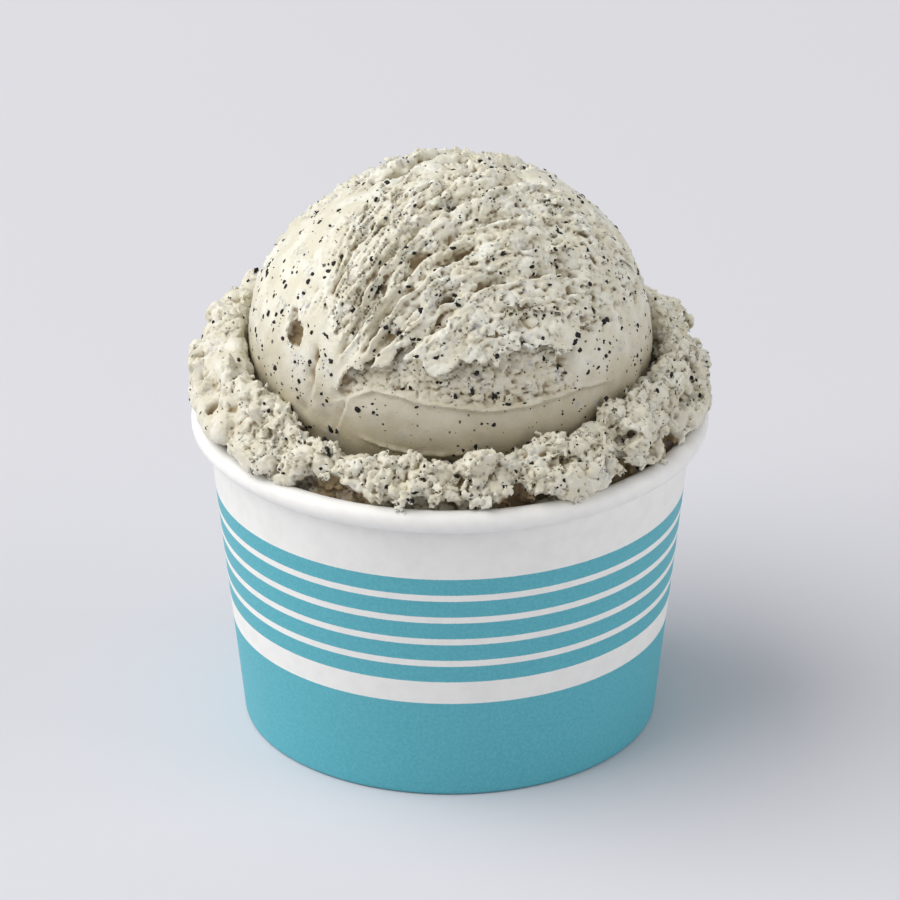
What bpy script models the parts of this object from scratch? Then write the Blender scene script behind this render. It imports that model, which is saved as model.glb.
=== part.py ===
"""Gelato cup: a paper cup with a rolled rim, filled with one pressed scoop of gelato.

The frame has +Z up, with the origin on the cup's axis at the plane it stands on. The front is
towards -Y. Three bodies are made, each clear of its neighbours by a small gap:

  cup_wall  the tapered paper sidewall, curled into a bead at the rim and folded into a hem below
  cup_base  the raised paper bottom, whose skirt hangs inside the hem
  gelato    the scoop, the torn collar pressed out round its foot and the fill inside the cup
"""

import math

import bmesh
import bpy
from mathutils import Vector, noise

MM = 0.001

# The paper cup, in millimetres.
RIM_RADIUS = 38.0
CUP_HEIGHT = 48.8
FOOT_RADIUS = 30.64
WALL_TAPER = 0.107          # growth of the radius for each millimetre of height
PAPER = 0.45
BEAD_DIAMETER = 3.28
GAP = 0.3                   # clearance between bodies that touch in the real thing
HEM_HEIGHT = 5.0            # height of the leg that is folded up inside the skirt
HEM_CORNER = 0.45
BASE_RAISED = 6.0           # height of the bottom's underside above the table
BASE_CORNER = 0.9
CUP_STEPS = 44

# The scoop, a slightly flattened ball, in millimetres.
BALL_RADIUS = 29.4
BALL_HALF_HEIGHT = 25.9
BALL_CENTRE = 60.4

# The collar of torn gelato round the ball's foot, in millimetres. Azimuths are in degrees from
# the front, positive to the right.
COLLAR_CREST_RADIUS = 32.6
COLLAR_LIMIT = 39.0         # nothing stands out further than this from the axis
COLLAR_CREST = (            # (azimuth, height of the crest)
    (-150, 60.0), (-90, 60.4), (-62, 59.2), (-44, 55.4), (-26, 53.8), (-6, 54.0), (10, 55.0),
    (28, 56.8), (56, 58.6), (90, 60.2), (150, 60.0),
)
COLLAR_REACH = (            # (azimuth, how far it leans over the rim: 0 inside the bead, 1 past it)
    (-150, 0.9), (-90, 1.0), (-50, 0.85), (-38, 0.55), (-26, 0.0), (-6, 0.25), (8, 0.25), (15, 0.0),
    (25, 0.75), (35, 0.7), (45, 0.15), (55, 0.7), (63, 0.3), (75, 1.0), (105, 1.0), (150, 0.9),
)
CLEFT_FRONT_HEIGHT = 50.8
CLEFT_SIDE_HEIGHT = 52.6

GELATO_STEPS = 76
BALL_UPPER_ROWS = 11

PAPER_WHITE = (0.86, 0.85, 0.83, 1.0)
GELATO_CREAM = (0.70, 0.67, 0.57, 1.0)


# ---------------------------------------------------------------- small helpers

def clear_scene():
    """Remove whatever the file holds, so that the part is built from nothing."""
    for item in list(bpy.data.objects):
        bpy.data.objects.remove(item, do_unlink=True)


def material(name, colour, roughness):
    """A plain dielectric finish."""
    finish = bpy.data.materials.new(name)
    finish.use_nodes = True
    shader = finish.node_tree.nodes["Principled BSDF"]
    shader.inputs["Base Color"].default_value = colour
    shader.inputs["Roughness"].default_value = roughness
    shader.inputs["Metallic"].default_value = 0.0
    return finish


def place(mesh_name, bm, collection, finish):
    """Turn a bmesh into a named object with a finish."""
    mesh = bpy.data.meshes.new(mesh_name)
    bm.to_mesh(mesh)
    bm.free()
    body = bpy.data.objects.new(mesh_name, mesh)
    mesh.materials.append(finish)
    collection.objects.link(body)
    return body


def smoothstep(low, high, value):
    """0 below low, 1 above high, with a smooth rise between."""
    share = min(1.0, max(0.0, (value - low) / (high - low)))
    return share * share * (3.0 - 2.0 * share)


def mix(start, end, share):
    """Linear blend."""
    return start + (end - start) * share


def window(angle, start, end, fade):
    """1 between two azimuths in degrees, fading to 0 over the given width outside them."""
    middle = 0.5 * (start + end)
    away = abs((angle - middle + 180.0) % 360.0 - 180.0)
    return 1.0 - smoothstep(0.5 * (end - start), 0.5 * (end - start) + fade, away)


def along(table, azimuth):
    """Value of a (azimuth, value) table all the way round, with a smooth run between its points."""
    first_azimuth, first_value = table[0]
    points = list(table) + [(first_azimuth + 360.0, first_value)]
    azimuth = (azimuth - first_azimuth) % 360.0 + first_azimuth
    for (start, here), (end, there) in zip(points, points[1:]):
        if azimuth <= end:
            return mix(here, there, smoothstep(start, end, azimuth))
    return first_value


def arc(centre_r, centre_z, radius, start, end, count):
    """Points (r, z) on an arc, from one angle in degrees to another, both included."""
    points = []
    for i in range(count):
        angle = math.radians(mix(start, end, i / (count - 1)))
        points.append((centre_r + radius * math.cos(angle), centre_z + radius * math.sin(angle)))
    return points


# ---------------------------------------------------------------- the paper cup

def turned_sheet(name, profile, collection, finish):
    """Turn an open profile (mm) with Screw, and give the sheet its paper thickness."""
    bm = bmesh.new()
    verts = [bm.verts.new((r * MM, 0.0, z * MM)) for r, z in profile]
    for first, second in zip(verts, verts[1:]):
        bm.edges.new((first, second))
    body = place(name, bm, collection, finish)

    screw = body.modifiers.new("turn", "SCREW")
    screw.steps = CUP_STEPS
    screw.render_steps = CUP_STEPS
    screw.use_merge_vertices = True
    screw.merge_threshold = 0.00001
    screw.use_smooth_shade = True

    sheet = body.modifiers.new("paper", "SOLIDIFY")
    sheet.thickness = PAPER * MM
    sheet.offset = 0.0
    sheet.use_even_offset = True
    sheet.use_quality_normals = True
    return body


def wall_middle(z):
    """Radius of the middle of the sidewall's paper at a height."""
    return FOOT_RADIUS + WALL_TAPER * z - PAPER / 2


def wall_inside(z):
    """Radius of the sidewall's inner face at a height."""
    return FOOT_RADIUS + WALL_TAPER * z - PAPER


def fold_width():
    """Distance between the middles of the hem's two legs, with the skirt between them."""
    return 2 * (PAPER + GAP)


def bead_centre():
    """Centre (r, z) of the rolled rim."""
    return RIM_RADIUS - BEAD_DIAMETER / 2, CUP_HEIGHT - BEAD_DIAMETER / 2


def make_cup_wall(collection, finish):
    """Sidewall, from the curl's tucked end over the bead, down the wall and up into the hem."""
    curl_r, curl_z = bead_centre()
    curl_radius = (BEAD_DIAMETER - PAPER) / 2
    curl = arc(curl_r, curl_z, curl_radius, -100.0, 190.0, 10)
    wall_top = curl_z - BEAD_DIAMETER / 2

    low = PAPER / 2 + HEM_CORNER
    outer = wall_middle(low)
    inner = outer - fold_width()
    outer_corner = arc(outer - HEM_CORNER, low, HEM_CORNER, 0.0, -90.0, 3)
    inner_corner = arc(inner + HEM_CORNER, low, HEM_CORNER, -90.0, -180.0, 3)
    inner_top = (wall_middle(HEM_HEIGHT) - fold_width(), HEM_HEIGHT)

    profile = curl + [(wall_middle(wall_top), wall_top)] + outer_corner + inner_corner + [inner_top]
    return turned_sheet("cup_wall", profile, collection, finish)


def make_cup_base(collection, finish):
    """Raised bottom: a disc whose edge turns down into a skirt between the hem's legs."""
    middle = BASE_RAISED + PAPER / 2
    skirt_low = 2 * (PAPER / 2) + GAP + PAPER / 2
    skirt = [wall_middle(z) - fold_width() / 2 for z in (middle - BASE_CORNER, skirt_low)]
    corner = arc(skirt[0] - BASE_CORNER, middle - BASE_CORNER, BASE_CORNER, 90.0, 0.0, 4)
    profile = [(0.0, middle)] + corner + [(skirt[1], skirt_low)]
    return turned_sheet("cup_base", profile, collection, finish)


# ---------------------------------------------------------------- the gelato

def ball_point(tilt, outward):
    """Point (r, z) of the ball at an angle from its top, pushed out by a distance."""
    r = (BALL_RADIUS + outward) * math.sin(tilt)
    z = BALL_CENTRE + (BALL_HALF_HEIGHT + outward) * math.cos(tilt)
    return r, z


def tilt_at(z):
    """Angle from the ball's top of the circle at a height."""
    return math.acos(max(-1.0, min(1.0, (z - BALL_CENTRE) / BALL_HALF_HEIGHT)))


def lip_height(azimuth):
    """Height of the torn lip where the upper part of the scoop breaks off, with its scallops."""
    scallops = 0.7 * math.sin(math.radians(azimuth * 16.0)) + 0.5 * math.sin(math.radians(azimuth * 9.0))
    return 67.6 + 0.04 * min(30.0, max(-30.0, azimuth)) + scallops


def lip_strength(azimuth):
    """The lip runs across the front, and a like one across the back."""
    return max(window(azimuth, -31.0, 30.0, 7.0), 0.8 * window(azimuth, 150.0, 215.0, 12.0))


def crest_height(azimuth):
    """Height of the thin crest under the torn stretch."""
    return 61.6 + 1.6 * window(azimuth, -24.0, -12.0, 16.0)


def crest_strength(azimuth):
    """The crest runs further round than the lip above it."""
    return max(window(azimuth, -32.0, 48.0, 10.0), 0.8 * window(azimuth, 135.0, 235.0, 14.0))


def second_crest_height(azimuth):
    """Height of the short crest low on the front left of the ball."""
    return 54.1 + 1.4 * window(azimuth, -40.0, -30.0, 14.0)


def second_crest_strength(azimuth):
    """The lower crest shows only on the front left, and on the back right."""
    return max(window(azimuth, -30.0, 2.0, 6.0), 0.7 * window(azimuth, 165.0, 200.0, 10.0))


def drag_ridges(azimuth, tilt):
    """Crumbly ridges that the scoop's edge drags across the upper ball, in millimetres."""
    side = BALL_RADIUS * math.sin(math.radians(azimuth)) * math.sin(tilt)
    depth = BALL_RADIUS * math.cos(math.radians(azimuth)) * math.sin(tilt)
    climb = BALL_RADIUS * tilt + 0.5 * side
    ridge = abs(noise.noise(Vector((climb / 6.5, side / 18.0, depth / 30.0))))
    grain = noise.noise(Vector((climb / 2.6, side / 4.5, depth / 9.0)))
    torn = smoothstep(0.35, 0.8, tilt) * (1.0 - 0.8 * window(azimuth, -95.0, -55.0, 20.0))
    return torn * (2.4 * ridge - 0.7 + 0.8 * grain)


def pit_depth(azimuth, z):
    """The small hole torn in the smooth left flank, in millimetres."""
    across = (azimuth + 54.7) * 0.47
    return 2.4 * math.exp(-(across * across + (z - 69.0) ** 2) / 3.2)


def ball_rows(azimuth):
    """Section of the ball from just under its top to the foot, as points (r, z)."""
    lip, lip_on = lip_height(azimuth), lip_strength(azimuth)
    crest, crest_on = crest_height(azimuth), crest_strength(azimuth)
    low_crest, low_on = second_crest_height(azimuth), second_crest_strength(azimuth)
    foot = cleft_height(azimuth)

    rows = []
    for i in range(1, BALL_UPPER_ROWS + 1):
        tilt = tilt_at(lip) * i / (BALL_UPPER_ROWS + 1)
        height = ball_point(tilt, 0.0)[1]
        rows.append((tilt, drag_ridges(azimuth, tilt) - pit_depth(azimuth, height)))
    for height, outward in (
        (lip, 0.45 * lip_on),
        (lip - 0.7, -1.0 * lip_on),
        (mix(lip, crest, 0.55), -0.8 * lip_on),
        (crest + 0.5, -0.1 * crest_on),
        (crest, 0.5 * crest_on),
        (crest - 0.8, -0.3 * crest_on),
        (mix(crest, low_crest, 0.5), -0.2 * crest_on),
        (low_crest + 0.5, 0.0),
        (low_crest, 0.5 * low_on),
        (low_crest - 0.8, -0.4 * low_on),
        (foot + 0.6, -0.3),
    ):
        low_wave = 0.25 * noise.noise(Vector((azimuth / 25.0, height / 6.0, 2.0)))
        rows.append((tilt_at(height), outward + low_wave - pit_depth(azimuth, height)))
    return [ball_point(tilt, outward) for tilt, outward in rows]


def cleft_height(azimuth):
    """Height of the bottom of the cleft between the ball and its collar."""
    away = abs((azimuth + 180.0) % 360.0 - 180.0)
    return mix(CLEFT_FRONT_HEIGHT, CLEFT_SIDE_HEIGHT, smoothstep(30.0, 100.0, away))


def crumble(azimuth, r, z):
    """Lumps of the torn collar at a place, in millimetres."""
    angle = math.radians(azimuth)
    spot = Vector((r * math.sin(angle), -r * math.cos(angle), z))
    clumps = abs(noise.noise(spot / 8.0))
    crumbs = noise.noise(spot / 4.2 + Vector((7.0, 3.0, 5.0)))
    return 5.5 * clumps + 1.6 * crumbs - 0.9


def collar_rows(azimuth):
    """Section of the collar, from the cleft over its crest and down to the bead of the rim."""
    out = along(COLLAR_REACH, azimuth)
    crest = along(COLLAR_CREST, azimuth)
    cleft = cleft_height(azimuth)
    crest_r = COLLAR_CREST_RADIUS + 0.8 * out
    edge_r = mix(35.4, 38.7, out)
    edge_z = mix(50.0, 51.4, out)
    limit = mix(36.6, COLLAR_LIMIT, out)
    plan = [
        (28.9, cleft, 0.0),
        (30.2, mix(cleft, crest, 0.45), 0.2),
        (crest_r - 1.7, crest - 0.8, 0.4),
        (crest_r, crest, 1.0),
        (mix(crest_r, edge_r, 0.55), crest - 0.9, 1.0),
        (mix(crest_r, edge_r, 0.9), mix(crest, edge_z, 0.5), 0.9),
        (edge_r, edge_z, 0.5),
    ]
    core = mix(cleft, crest, 0.4)
    rows = []
    for r, z, loose in plan:
        push = loose * crumble(azimuth, r, z)
        lean = math.atan2(z - core, r - crest_r)
        r_out = min(limit, r + push * math.cos(lean))
        z_out = max(z + push * math.sin(lean), edge_z)
        rows.append((r_out, z_out))
    return rows


def seat_rows(azimuth):
    """Section of the gelato's outside where it lies on the bead and fills the cup."""
    curl_r, curl_z = bead_centre()
    clear = BEAD_DIAMETER / 2 + 1.2 * GAP
    leave = mix(118.0, 52.0, along(COLLAR_REACH, azimuth))
    seat = arc(curl_r, curl_z, clear, leave, 205.0, 6)
    wall_top = curl_z - BEAD_DIAMETER / 2 - GAP
    floor = BASE_RAISED + PAPER + GAP
    wall = [(wall_inside(z) - GAP, z) for z in (wall_top, mix(floor, wall_top, 0.5), floor + 1.0)]
    bottom_edge = wall_inside(floor) - GAP
    return seat + wall + [(bottom_edge - 0.8, floor), (bottom_edge * 0.5, floor)]


def make_gelato(collection, finish):
    """Loft the gelato from its sections round the axis, since no two of them are alike."""
    top = BALL_CENTRE + BALL_HALF_HEIGHT
    floor = BASE_RAISED + PAPER + GAP
    bm = bmesh.new()
    upper_pole = bm.verts.new((0.0, 0.0, top * MM))
    lower_pole = bm.verts.new((0.0, 0.0, floor * MM))

    columns = []
    for step in range(GELATO_STEPS):
        azimuth = 360.0 * step / GELATO_STEPS
        signed = azimuth if azimuth <= 240.0 else azimuth - 360.0
        angle = math.radians(azimuth)
        section = ball_rows(signed) + collar_rows(signed) + seat_rows(signed)
        columns.append([
            bm.verts.new((r * math.sin(angle) * MM, -r * math.cos(angle) * MM, z * MM))
            for r, z in section
        ])

    for here, there in zip(columns, columns[1:] + columns[:1]):
        bm.faces.new((upper_pole, here[0], there[0]))
        bm.faces.new((lower_pole, there[-1], here[-1]))
        for row in range(len(here) - 1):
            bm.faces.new((here[row], here[row + 1], there[row + 1], there[row]))

    body = place("gelato", bm, collection, finish)
    body.data.shade_smooth()
    body.data.set_sharp_from_angle(angle=math.radians(50.0))
    return body


# ---------------------------------------------------------------- the whole part

def main():
    """Build the cup and its gelato."""
    clear_scene()
    parts = bpy.data.collections.new("gelato_cup")
    bpy.context.scene.collection.children.link(parts)
    paper = material("cup_paper", PAPER_WHITE, 0.5)
    board = material("base_paper", PAPER_WHITE, 0.6)
    cream = material("gelato", GELATO_CREAM, 0.55)
    make_cup_wall(parts, paper)
    make_cup_base(parts, board)
    make_gelato(parts, cream)


main()
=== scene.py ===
"""Gelato cup: the looks of a printed paper cup and of the torn, speckled gelato pressed into it.

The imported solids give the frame. Each of them is replaced by a finer body of the same size:

  PaperCup       the rolled and printed sidewall, and the raised bottom inside it
  Scoop          the pressed ball, with its drag tears, its torn lip and its smooth flanks
  Collar         the crumbly ring that the press squeezed out over the rim
  Filling        the gelato below them, inside the cup
  CookieSpecks   the grains of dark cookie that lie in the surface

Lengths are in millimetres unless a name says otherwise, and they turn into metres where a mesh
is made. +Z is up and the front is towards -Y. An azimuth is an angle in degrees round the cup's
axis, 0 at the front and positive towards +X.
"""

import logging
import math
from concurrent.futures import ThreadPoolExecutor
from dataclasses import dataclass
from enum import Enum
from functools import lru_cache
from itertools import combinations, product
from typing import Callable, Sequence

import bpy
import numpy as np
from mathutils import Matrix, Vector

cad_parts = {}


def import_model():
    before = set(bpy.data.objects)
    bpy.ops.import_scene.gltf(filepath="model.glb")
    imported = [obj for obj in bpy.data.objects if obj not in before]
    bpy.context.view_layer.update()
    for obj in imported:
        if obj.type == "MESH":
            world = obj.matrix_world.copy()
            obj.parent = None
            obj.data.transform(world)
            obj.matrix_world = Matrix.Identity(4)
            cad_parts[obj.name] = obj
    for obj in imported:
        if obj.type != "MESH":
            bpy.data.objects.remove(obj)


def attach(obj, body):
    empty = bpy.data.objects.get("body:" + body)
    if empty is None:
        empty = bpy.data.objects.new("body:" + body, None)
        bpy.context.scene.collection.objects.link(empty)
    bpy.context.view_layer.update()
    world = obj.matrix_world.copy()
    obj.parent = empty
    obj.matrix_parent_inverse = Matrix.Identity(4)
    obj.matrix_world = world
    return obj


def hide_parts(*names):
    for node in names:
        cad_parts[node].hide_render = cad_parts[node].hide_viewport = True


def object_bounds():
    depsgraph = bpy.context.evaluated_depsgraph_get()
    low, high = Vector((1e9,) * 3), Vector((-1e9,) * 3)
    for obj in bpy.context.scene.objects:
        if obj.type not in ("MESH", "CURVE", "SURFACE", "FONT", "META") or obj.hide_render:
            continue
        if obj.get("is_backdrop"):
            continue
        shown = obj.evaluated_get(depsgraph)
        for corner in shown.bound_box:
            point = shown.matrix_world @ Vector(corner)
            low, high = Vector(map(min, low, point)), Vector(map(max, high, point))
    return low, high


LOG = logging.getLogger("gelato_cup")

Array = np.ndarray
Colour = tuple[float, float, float]
Table = tuple[tuple[float, float], ...]

MM = 0.001
BODY = "root"
WORKERS = 4
CHUNK = 60_000              # spots worked out together by one worker


# ---------------------------------------------------------------- numbers and noise

def smooth_step(low: float, high: float, value: Array) -> Array:
    """Rise smoothly from 0 to 1.

    Args:
        low: The value at which the rise starts.
        high: The value at which it is complete. It may be the smaller one, for a fall.
        value: The values to map.

    Returns:
        The share of the rise at each value.
    """
    share = np.clip((value - low) / (high - low), 0.0, 1.0)
    return share * share * (3.0 - 2.0 * share)


def smooth_min(first: Array, second: Array, blend: float) -> Array:
    """Join two distance fields with a soft fillet.

    Args:
        first: Distances to one body.
        second: Distances to the other.
        blend: The width of the fillet.

    Returns:
        Distances to both bodies together.
    """
    share = np.clip(0.5 + 0.5 * (second - first) / blend, 0.0, 1.0)
    return second + (first - second) * share - blend * share * (1.0 - share)


def bell(away: Array, width: float) -> Array:
    """A soft bump of height 1, at its widest where away is 0."""
    return np.exp(-np.square(away / width))


def turn_between(angle: Array, middle: float) -> Array:
    """Signed difference in degrees from one azimuth, the short way round."""
    return (angle - middle + 180.0) % 360.0 - 180.0


def sector(angle: Array, start: float, end: float, fade: float) -> Array:
    """Pick out a range of azimuths.

    Args:
        angle: Azimuths in degrees.
        start: Where the range starts.
        end: Where it ends.
        fade: The width in degrees over which it fades out on both sides.

    Returns:
        1 in the range and 0 away from it.
    """
    half = 0.5 * (end - start)
    away = np.abs(turn_between(angle, 0.5 * (start + end)))
    return smooth_step(half + fade, half, away)


def along(table: Table, angle: Array) -> Array:
    """Read a closed (azimuth, value) table, with a smooth run between its points.

    Args:
        table: Points in order, over less than a full turn.
        angle: Azimuths in degrees.

    Returns:
        The value at each azimuth.
    """
    first = table[0][0]
    places = np.array([place for place, _ in table] + [first + 360.0])
    values = np.array([value for _, value in table] + [table[0][1]])
    turned = (angle - first) % 360.0 + first
    right = np.clip(np.searchsorted(places, turned, side="right"), 1, len(places) - 1)
    share = smooth_step(0.0, 1.0, (turned - places[right - 1]) / (places[right] - places[right - 1]))
    return (values[right - 1] + (values[right] - values[right - 1]) * share).astype(np.float32)


def open_run(table: Table, angle: Array) -> Array:
    """Read an open (azimuth, value) table with straight runs between its points."""
    places, values = zip(*table)
    return np.interp(angle, places, values).astype(np.float32)


LATTICE = 32                # the noise repeats after this many cells, a power of two


@lru_cache(maxsize=None)
def lattice_arrows(seed: int) -> Array:
    """Unit arrows at the corners of the noise lattice, the same for each seed."""
    arrows = np.random.default_rng(seed).normal(size=(LATTICE ** 3, 3))
    return (arrows / np.linalg.norm(arrows, axis=1, keepdims=True)).astype(np.float32)


NOISE_GAIN = 1.6            # brings the noise to about -1..1


def noise(seed: int, spots: Array, size: float | Sequence[float]) -> Array:
    """Smooth gradient noise in space.

    Args:
        seed: Which of the noises.
        spots: Places, one row each.
        size: The size of its cells, or one size for each direction.

    Returns:
        A value of about -1 to 1 at each place.
    """
    place = (spots / np.asarray(size, dtype=np.float32)).astype(np.float32)
    floor = np.floor(place)
    share = place - floor
    low = floor.astype(np.int32) & (LATTICE - 1)
    high = (low + 1) & (LATTICE - 1)
    fade = share * share * share * (share * (share * 6.0 - 15.0) + 10.0)
    arrows = lattice_arrows(seed)
    total = np.zeros(len(spots), dtype=np.float32)
    for dx in (0, 1):
        column = (high if dx else low)[:, 0] * LATTICE
        weight_x = fade[:, 0] if dx else 1.0 - fade[:, 0]
        for dy in (0, 1):
            row = (column + (high if dy else low)[:, 1]) * LATTICE
            weight_xy = weight_x * (fade[:, 1] if dy else 1.0 - fade[:, 1])
            for dz in (0, 1):
                arrow = arrows[row + (high if dz else low)[:, 2]]
                weight = weight_xy * (fade[:, 2] if dz else 1.0 - fade[:, 2])
                total += weight * (
                    arrow[:, 0] * (share[:, 0] - dx)
                    + arrow[:, 1] * (share[:, 1] - dy)
                    + arrow[:, 2] * (share[:, 2] - dz)
                )
    return total * NOISE_GAIN


def billow(seed: int, spots: Array, size: float | Sequence[float]) -> Array:
    """Rounded lumps with sharp creases between them, about 0 to 1 high."""
    return np.abs(noise(seed, spots, size))


def warped(seed: int, spots: Array, size: float, reach: float) -> Array:
    """Places moved about by noise, so that what is laid over them isn't regular."""
    shifts = [noise(seed + turn, spots, size) for turn in range(3)]
    return spots + reach * np.stack(shifts, axis=1)


@lru_cache(maxsize=None)
def lattice_chips(seed: int) -> tuple[Array, Array]:
    """A point in each cell of the lattice, and the tilt and height of the chip round it."""
    draw = np.random.default_rng(seed)
    points = draw.uniform(0.1, 0.9, (LATTICE ** 3, 3))
    return points.astype(np.float32), draw.normal(size=(LATTICE ** 3, 4)).astype(np.float32)


def chips(seed: int, spots: Array, size: float | Sequence[float]) -> tuple[Array, Array]:
    """Break space into angular chips, each with a height and a slanted face of its own.

    Args:
        seed: Which of the patterns.
        spots: Places, one row each.
        size: The size of a chip, or one size for each direction.

    Returns:
        The height of the chip's face at each place, -1.5 to 1.5, and the distance from the
        crack between it and its neighbour, 0 in the crack and about 0.5 in the chip's middle.
    """
    place = (spots / np.asarray(size, dtype=np.float32)).astype(np.float32)
    floor = np.floor(place)
    share = place - floor
    low = floor.astype(np.int32)
    points, faces = lattice_chips(seed)
    nearest = np.full(len(spots), 9.0, dtype=np.float32)
    second = nearest.copy()
    height = np.zeros(len(spots), dtype=np.float32)
    for shift in product((-1, 0, 1), repeat=3):
        cell = (low + np.array(shift, dtype=np.int32)) & (LATTICE - 1)
        number = (cell[:, 0] * LATTICE + cell[:, 1]) * LATTICE + cell[:, 2]
        away = points[number] + np.array(shift, dtype=np.float32) - share
        far = np.einsum("ij,ij->i", away, away)
        closer = far < nearest
        second = np.where(closer, nearest, np.minimum(second, far))
        nearest = np.where(closer, far, nearest)
        face = faces[number[closer]]
        height[closer] = 0.6 * face[:, 3] - np.einsum("ij,ij->i", face[:, :3], away[closer])
    return np.clip(height, -1.5, 1.5), np.sqrt(second) - np.sqrt(nearest)


def azimuth_of(spots: Array) -> Array:
    """Azimuth of each place in degrees."""
    return np.degrees(np.arctan2(spots[:, 0], -spots[:, 1]))


def ring_spot(azimuth: float, radius: float, height: float) -> Array:
    """The place at an azimuth, a radius and a height."""
    angle = math.radians(azimuth)
    return np.array([radius * math.sin(angle), -radius * math.cos(angle), height], dtype=np.float32)


# ---------------------------------------------------------------- bodies carved from fields

Field = Callable[[Array], Array]


@dataclass(frozen=True)
class Shell:
    """A mesh as plain arrays, in millimetres."""

    spots: Array
    quads: Array
    triangles: Array

    def edges(self) -> Array:
        """Pairs of neighbouring points, each pair in both directions."""
        loops = [self.quads[:, [side, (side + 1) % 4]] for side in range(4)]
        loops += [self.triangles[:, [side, (side + 1) % 3]] for side in range(3)]
        pairs = np.concatenate(loops)
        return np.concatenate([pairs, pairs[:, ::-1]])

    def closed(self, sink: float) -> "Shell":
        """Close the open rim at the bottom with a shallow cone.

        Args:
            sink: How far the cone's tip lies below the rim.

        Returns:
            The closed mesh.
        """
        starts = np.concatenate([self.quads[:, side] for side in range(4)])
        ends = np.concatenate([self.quads[:, (side + 1) % 4] for side in range(4)])
        count = len(self.spots)
        keys = starts.astype(np.int64) * count + ends
        mates = ends.astype(np.int64) * count + starts
        lone = ~np.isin(keys, mates)
        if not lone.any():
            return self
        rim = self.spots[starts[lone]]
        tip = np.array([[rim[:, 0].mean(), rim[:, 1].mean(), rim[:, 2].min() - sink]])
        fan = np.stack([ends[lone], starts[lone], np.full(lone.sum(), count)], axis=1)
        spots = np.concatenate([self.spots, tip])
        return Shell(spots, self.quads, np.concatenate([self.triangles, fan]))

    def largest_part(self) -> "Shell":
        """Drop the crumbs that hang free of the body."""
        label = np.arange(len(self.spots))
        pairs = self.edges()
        while True:
            lowest = label.copy()
            np.minimum.at(lowest, pairs[:, 0], label[pairs[:, 1]])
            lowest = lowest[lowest]
            if np.array_equal(lowest, label):
                break
            label = lowest
        body = np.bincount(label).argmax()
        kept = label == body
        fresh = np.cumsum(kept) - 1
        quads = fresh[self.quads[kept[self.quads[:, 0]]]]
        triangles = fresh[self.triangles[kept[self.triangles[:, 0]]]] if len(self.triangles) else self.triangles
        return Shell(self.spots[kept], quads, triangles)

    def hollows(self, rounds: int) -> Array:
        """How far each point lies below the surface smoothed round it.

        Args:
            rounds: The times the surface is smoothed. More of them see wider hollows.

        Returns:
            Depths, above 0 in a hollow and below 0 on a crest.
        """
        pairs = self.edges()
        count = len(self.spots)
        neighbours = np.maximum(np.bincount(pairs[:, 0], minlength=count), 1)
        smooth = self.spots
        for _ in range(rounds):
            smooth = np.stack(
                [np.bincount(pairs[:, 0], weights=smooth[pairs[:, 1], axis], minlength=count) / neighbours
                 for axis in range(3)],
                axis=1,
            )
        corners = smooth[self.quads]
        across = np.cross(corners[:, 2] - corners[:, 0], corners[:, 3] - corners[:, 1])
        normals = np.zeros_like(smooth)
        for side in range(4):
            for axis in range(3):
                normals[:, axis] += np.bincount(self.quads[:, side], weights=across[:, axis], minlength=count)
        normals /= np.maximum(np.linalg.norm(normals, axis=1, keepdims=True), 1e-9)
        return np.einsum("ij,ij->i", smooth - self.spots, normals)


def hollow_marks(shell: Shell) -> Array:
    """How deep each point of torn gelato lies in its narrow cracks and its wider hollows."""
    return np.maximum(shell.hollows(9), 0.55 * shell.hollows(45))


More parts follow.
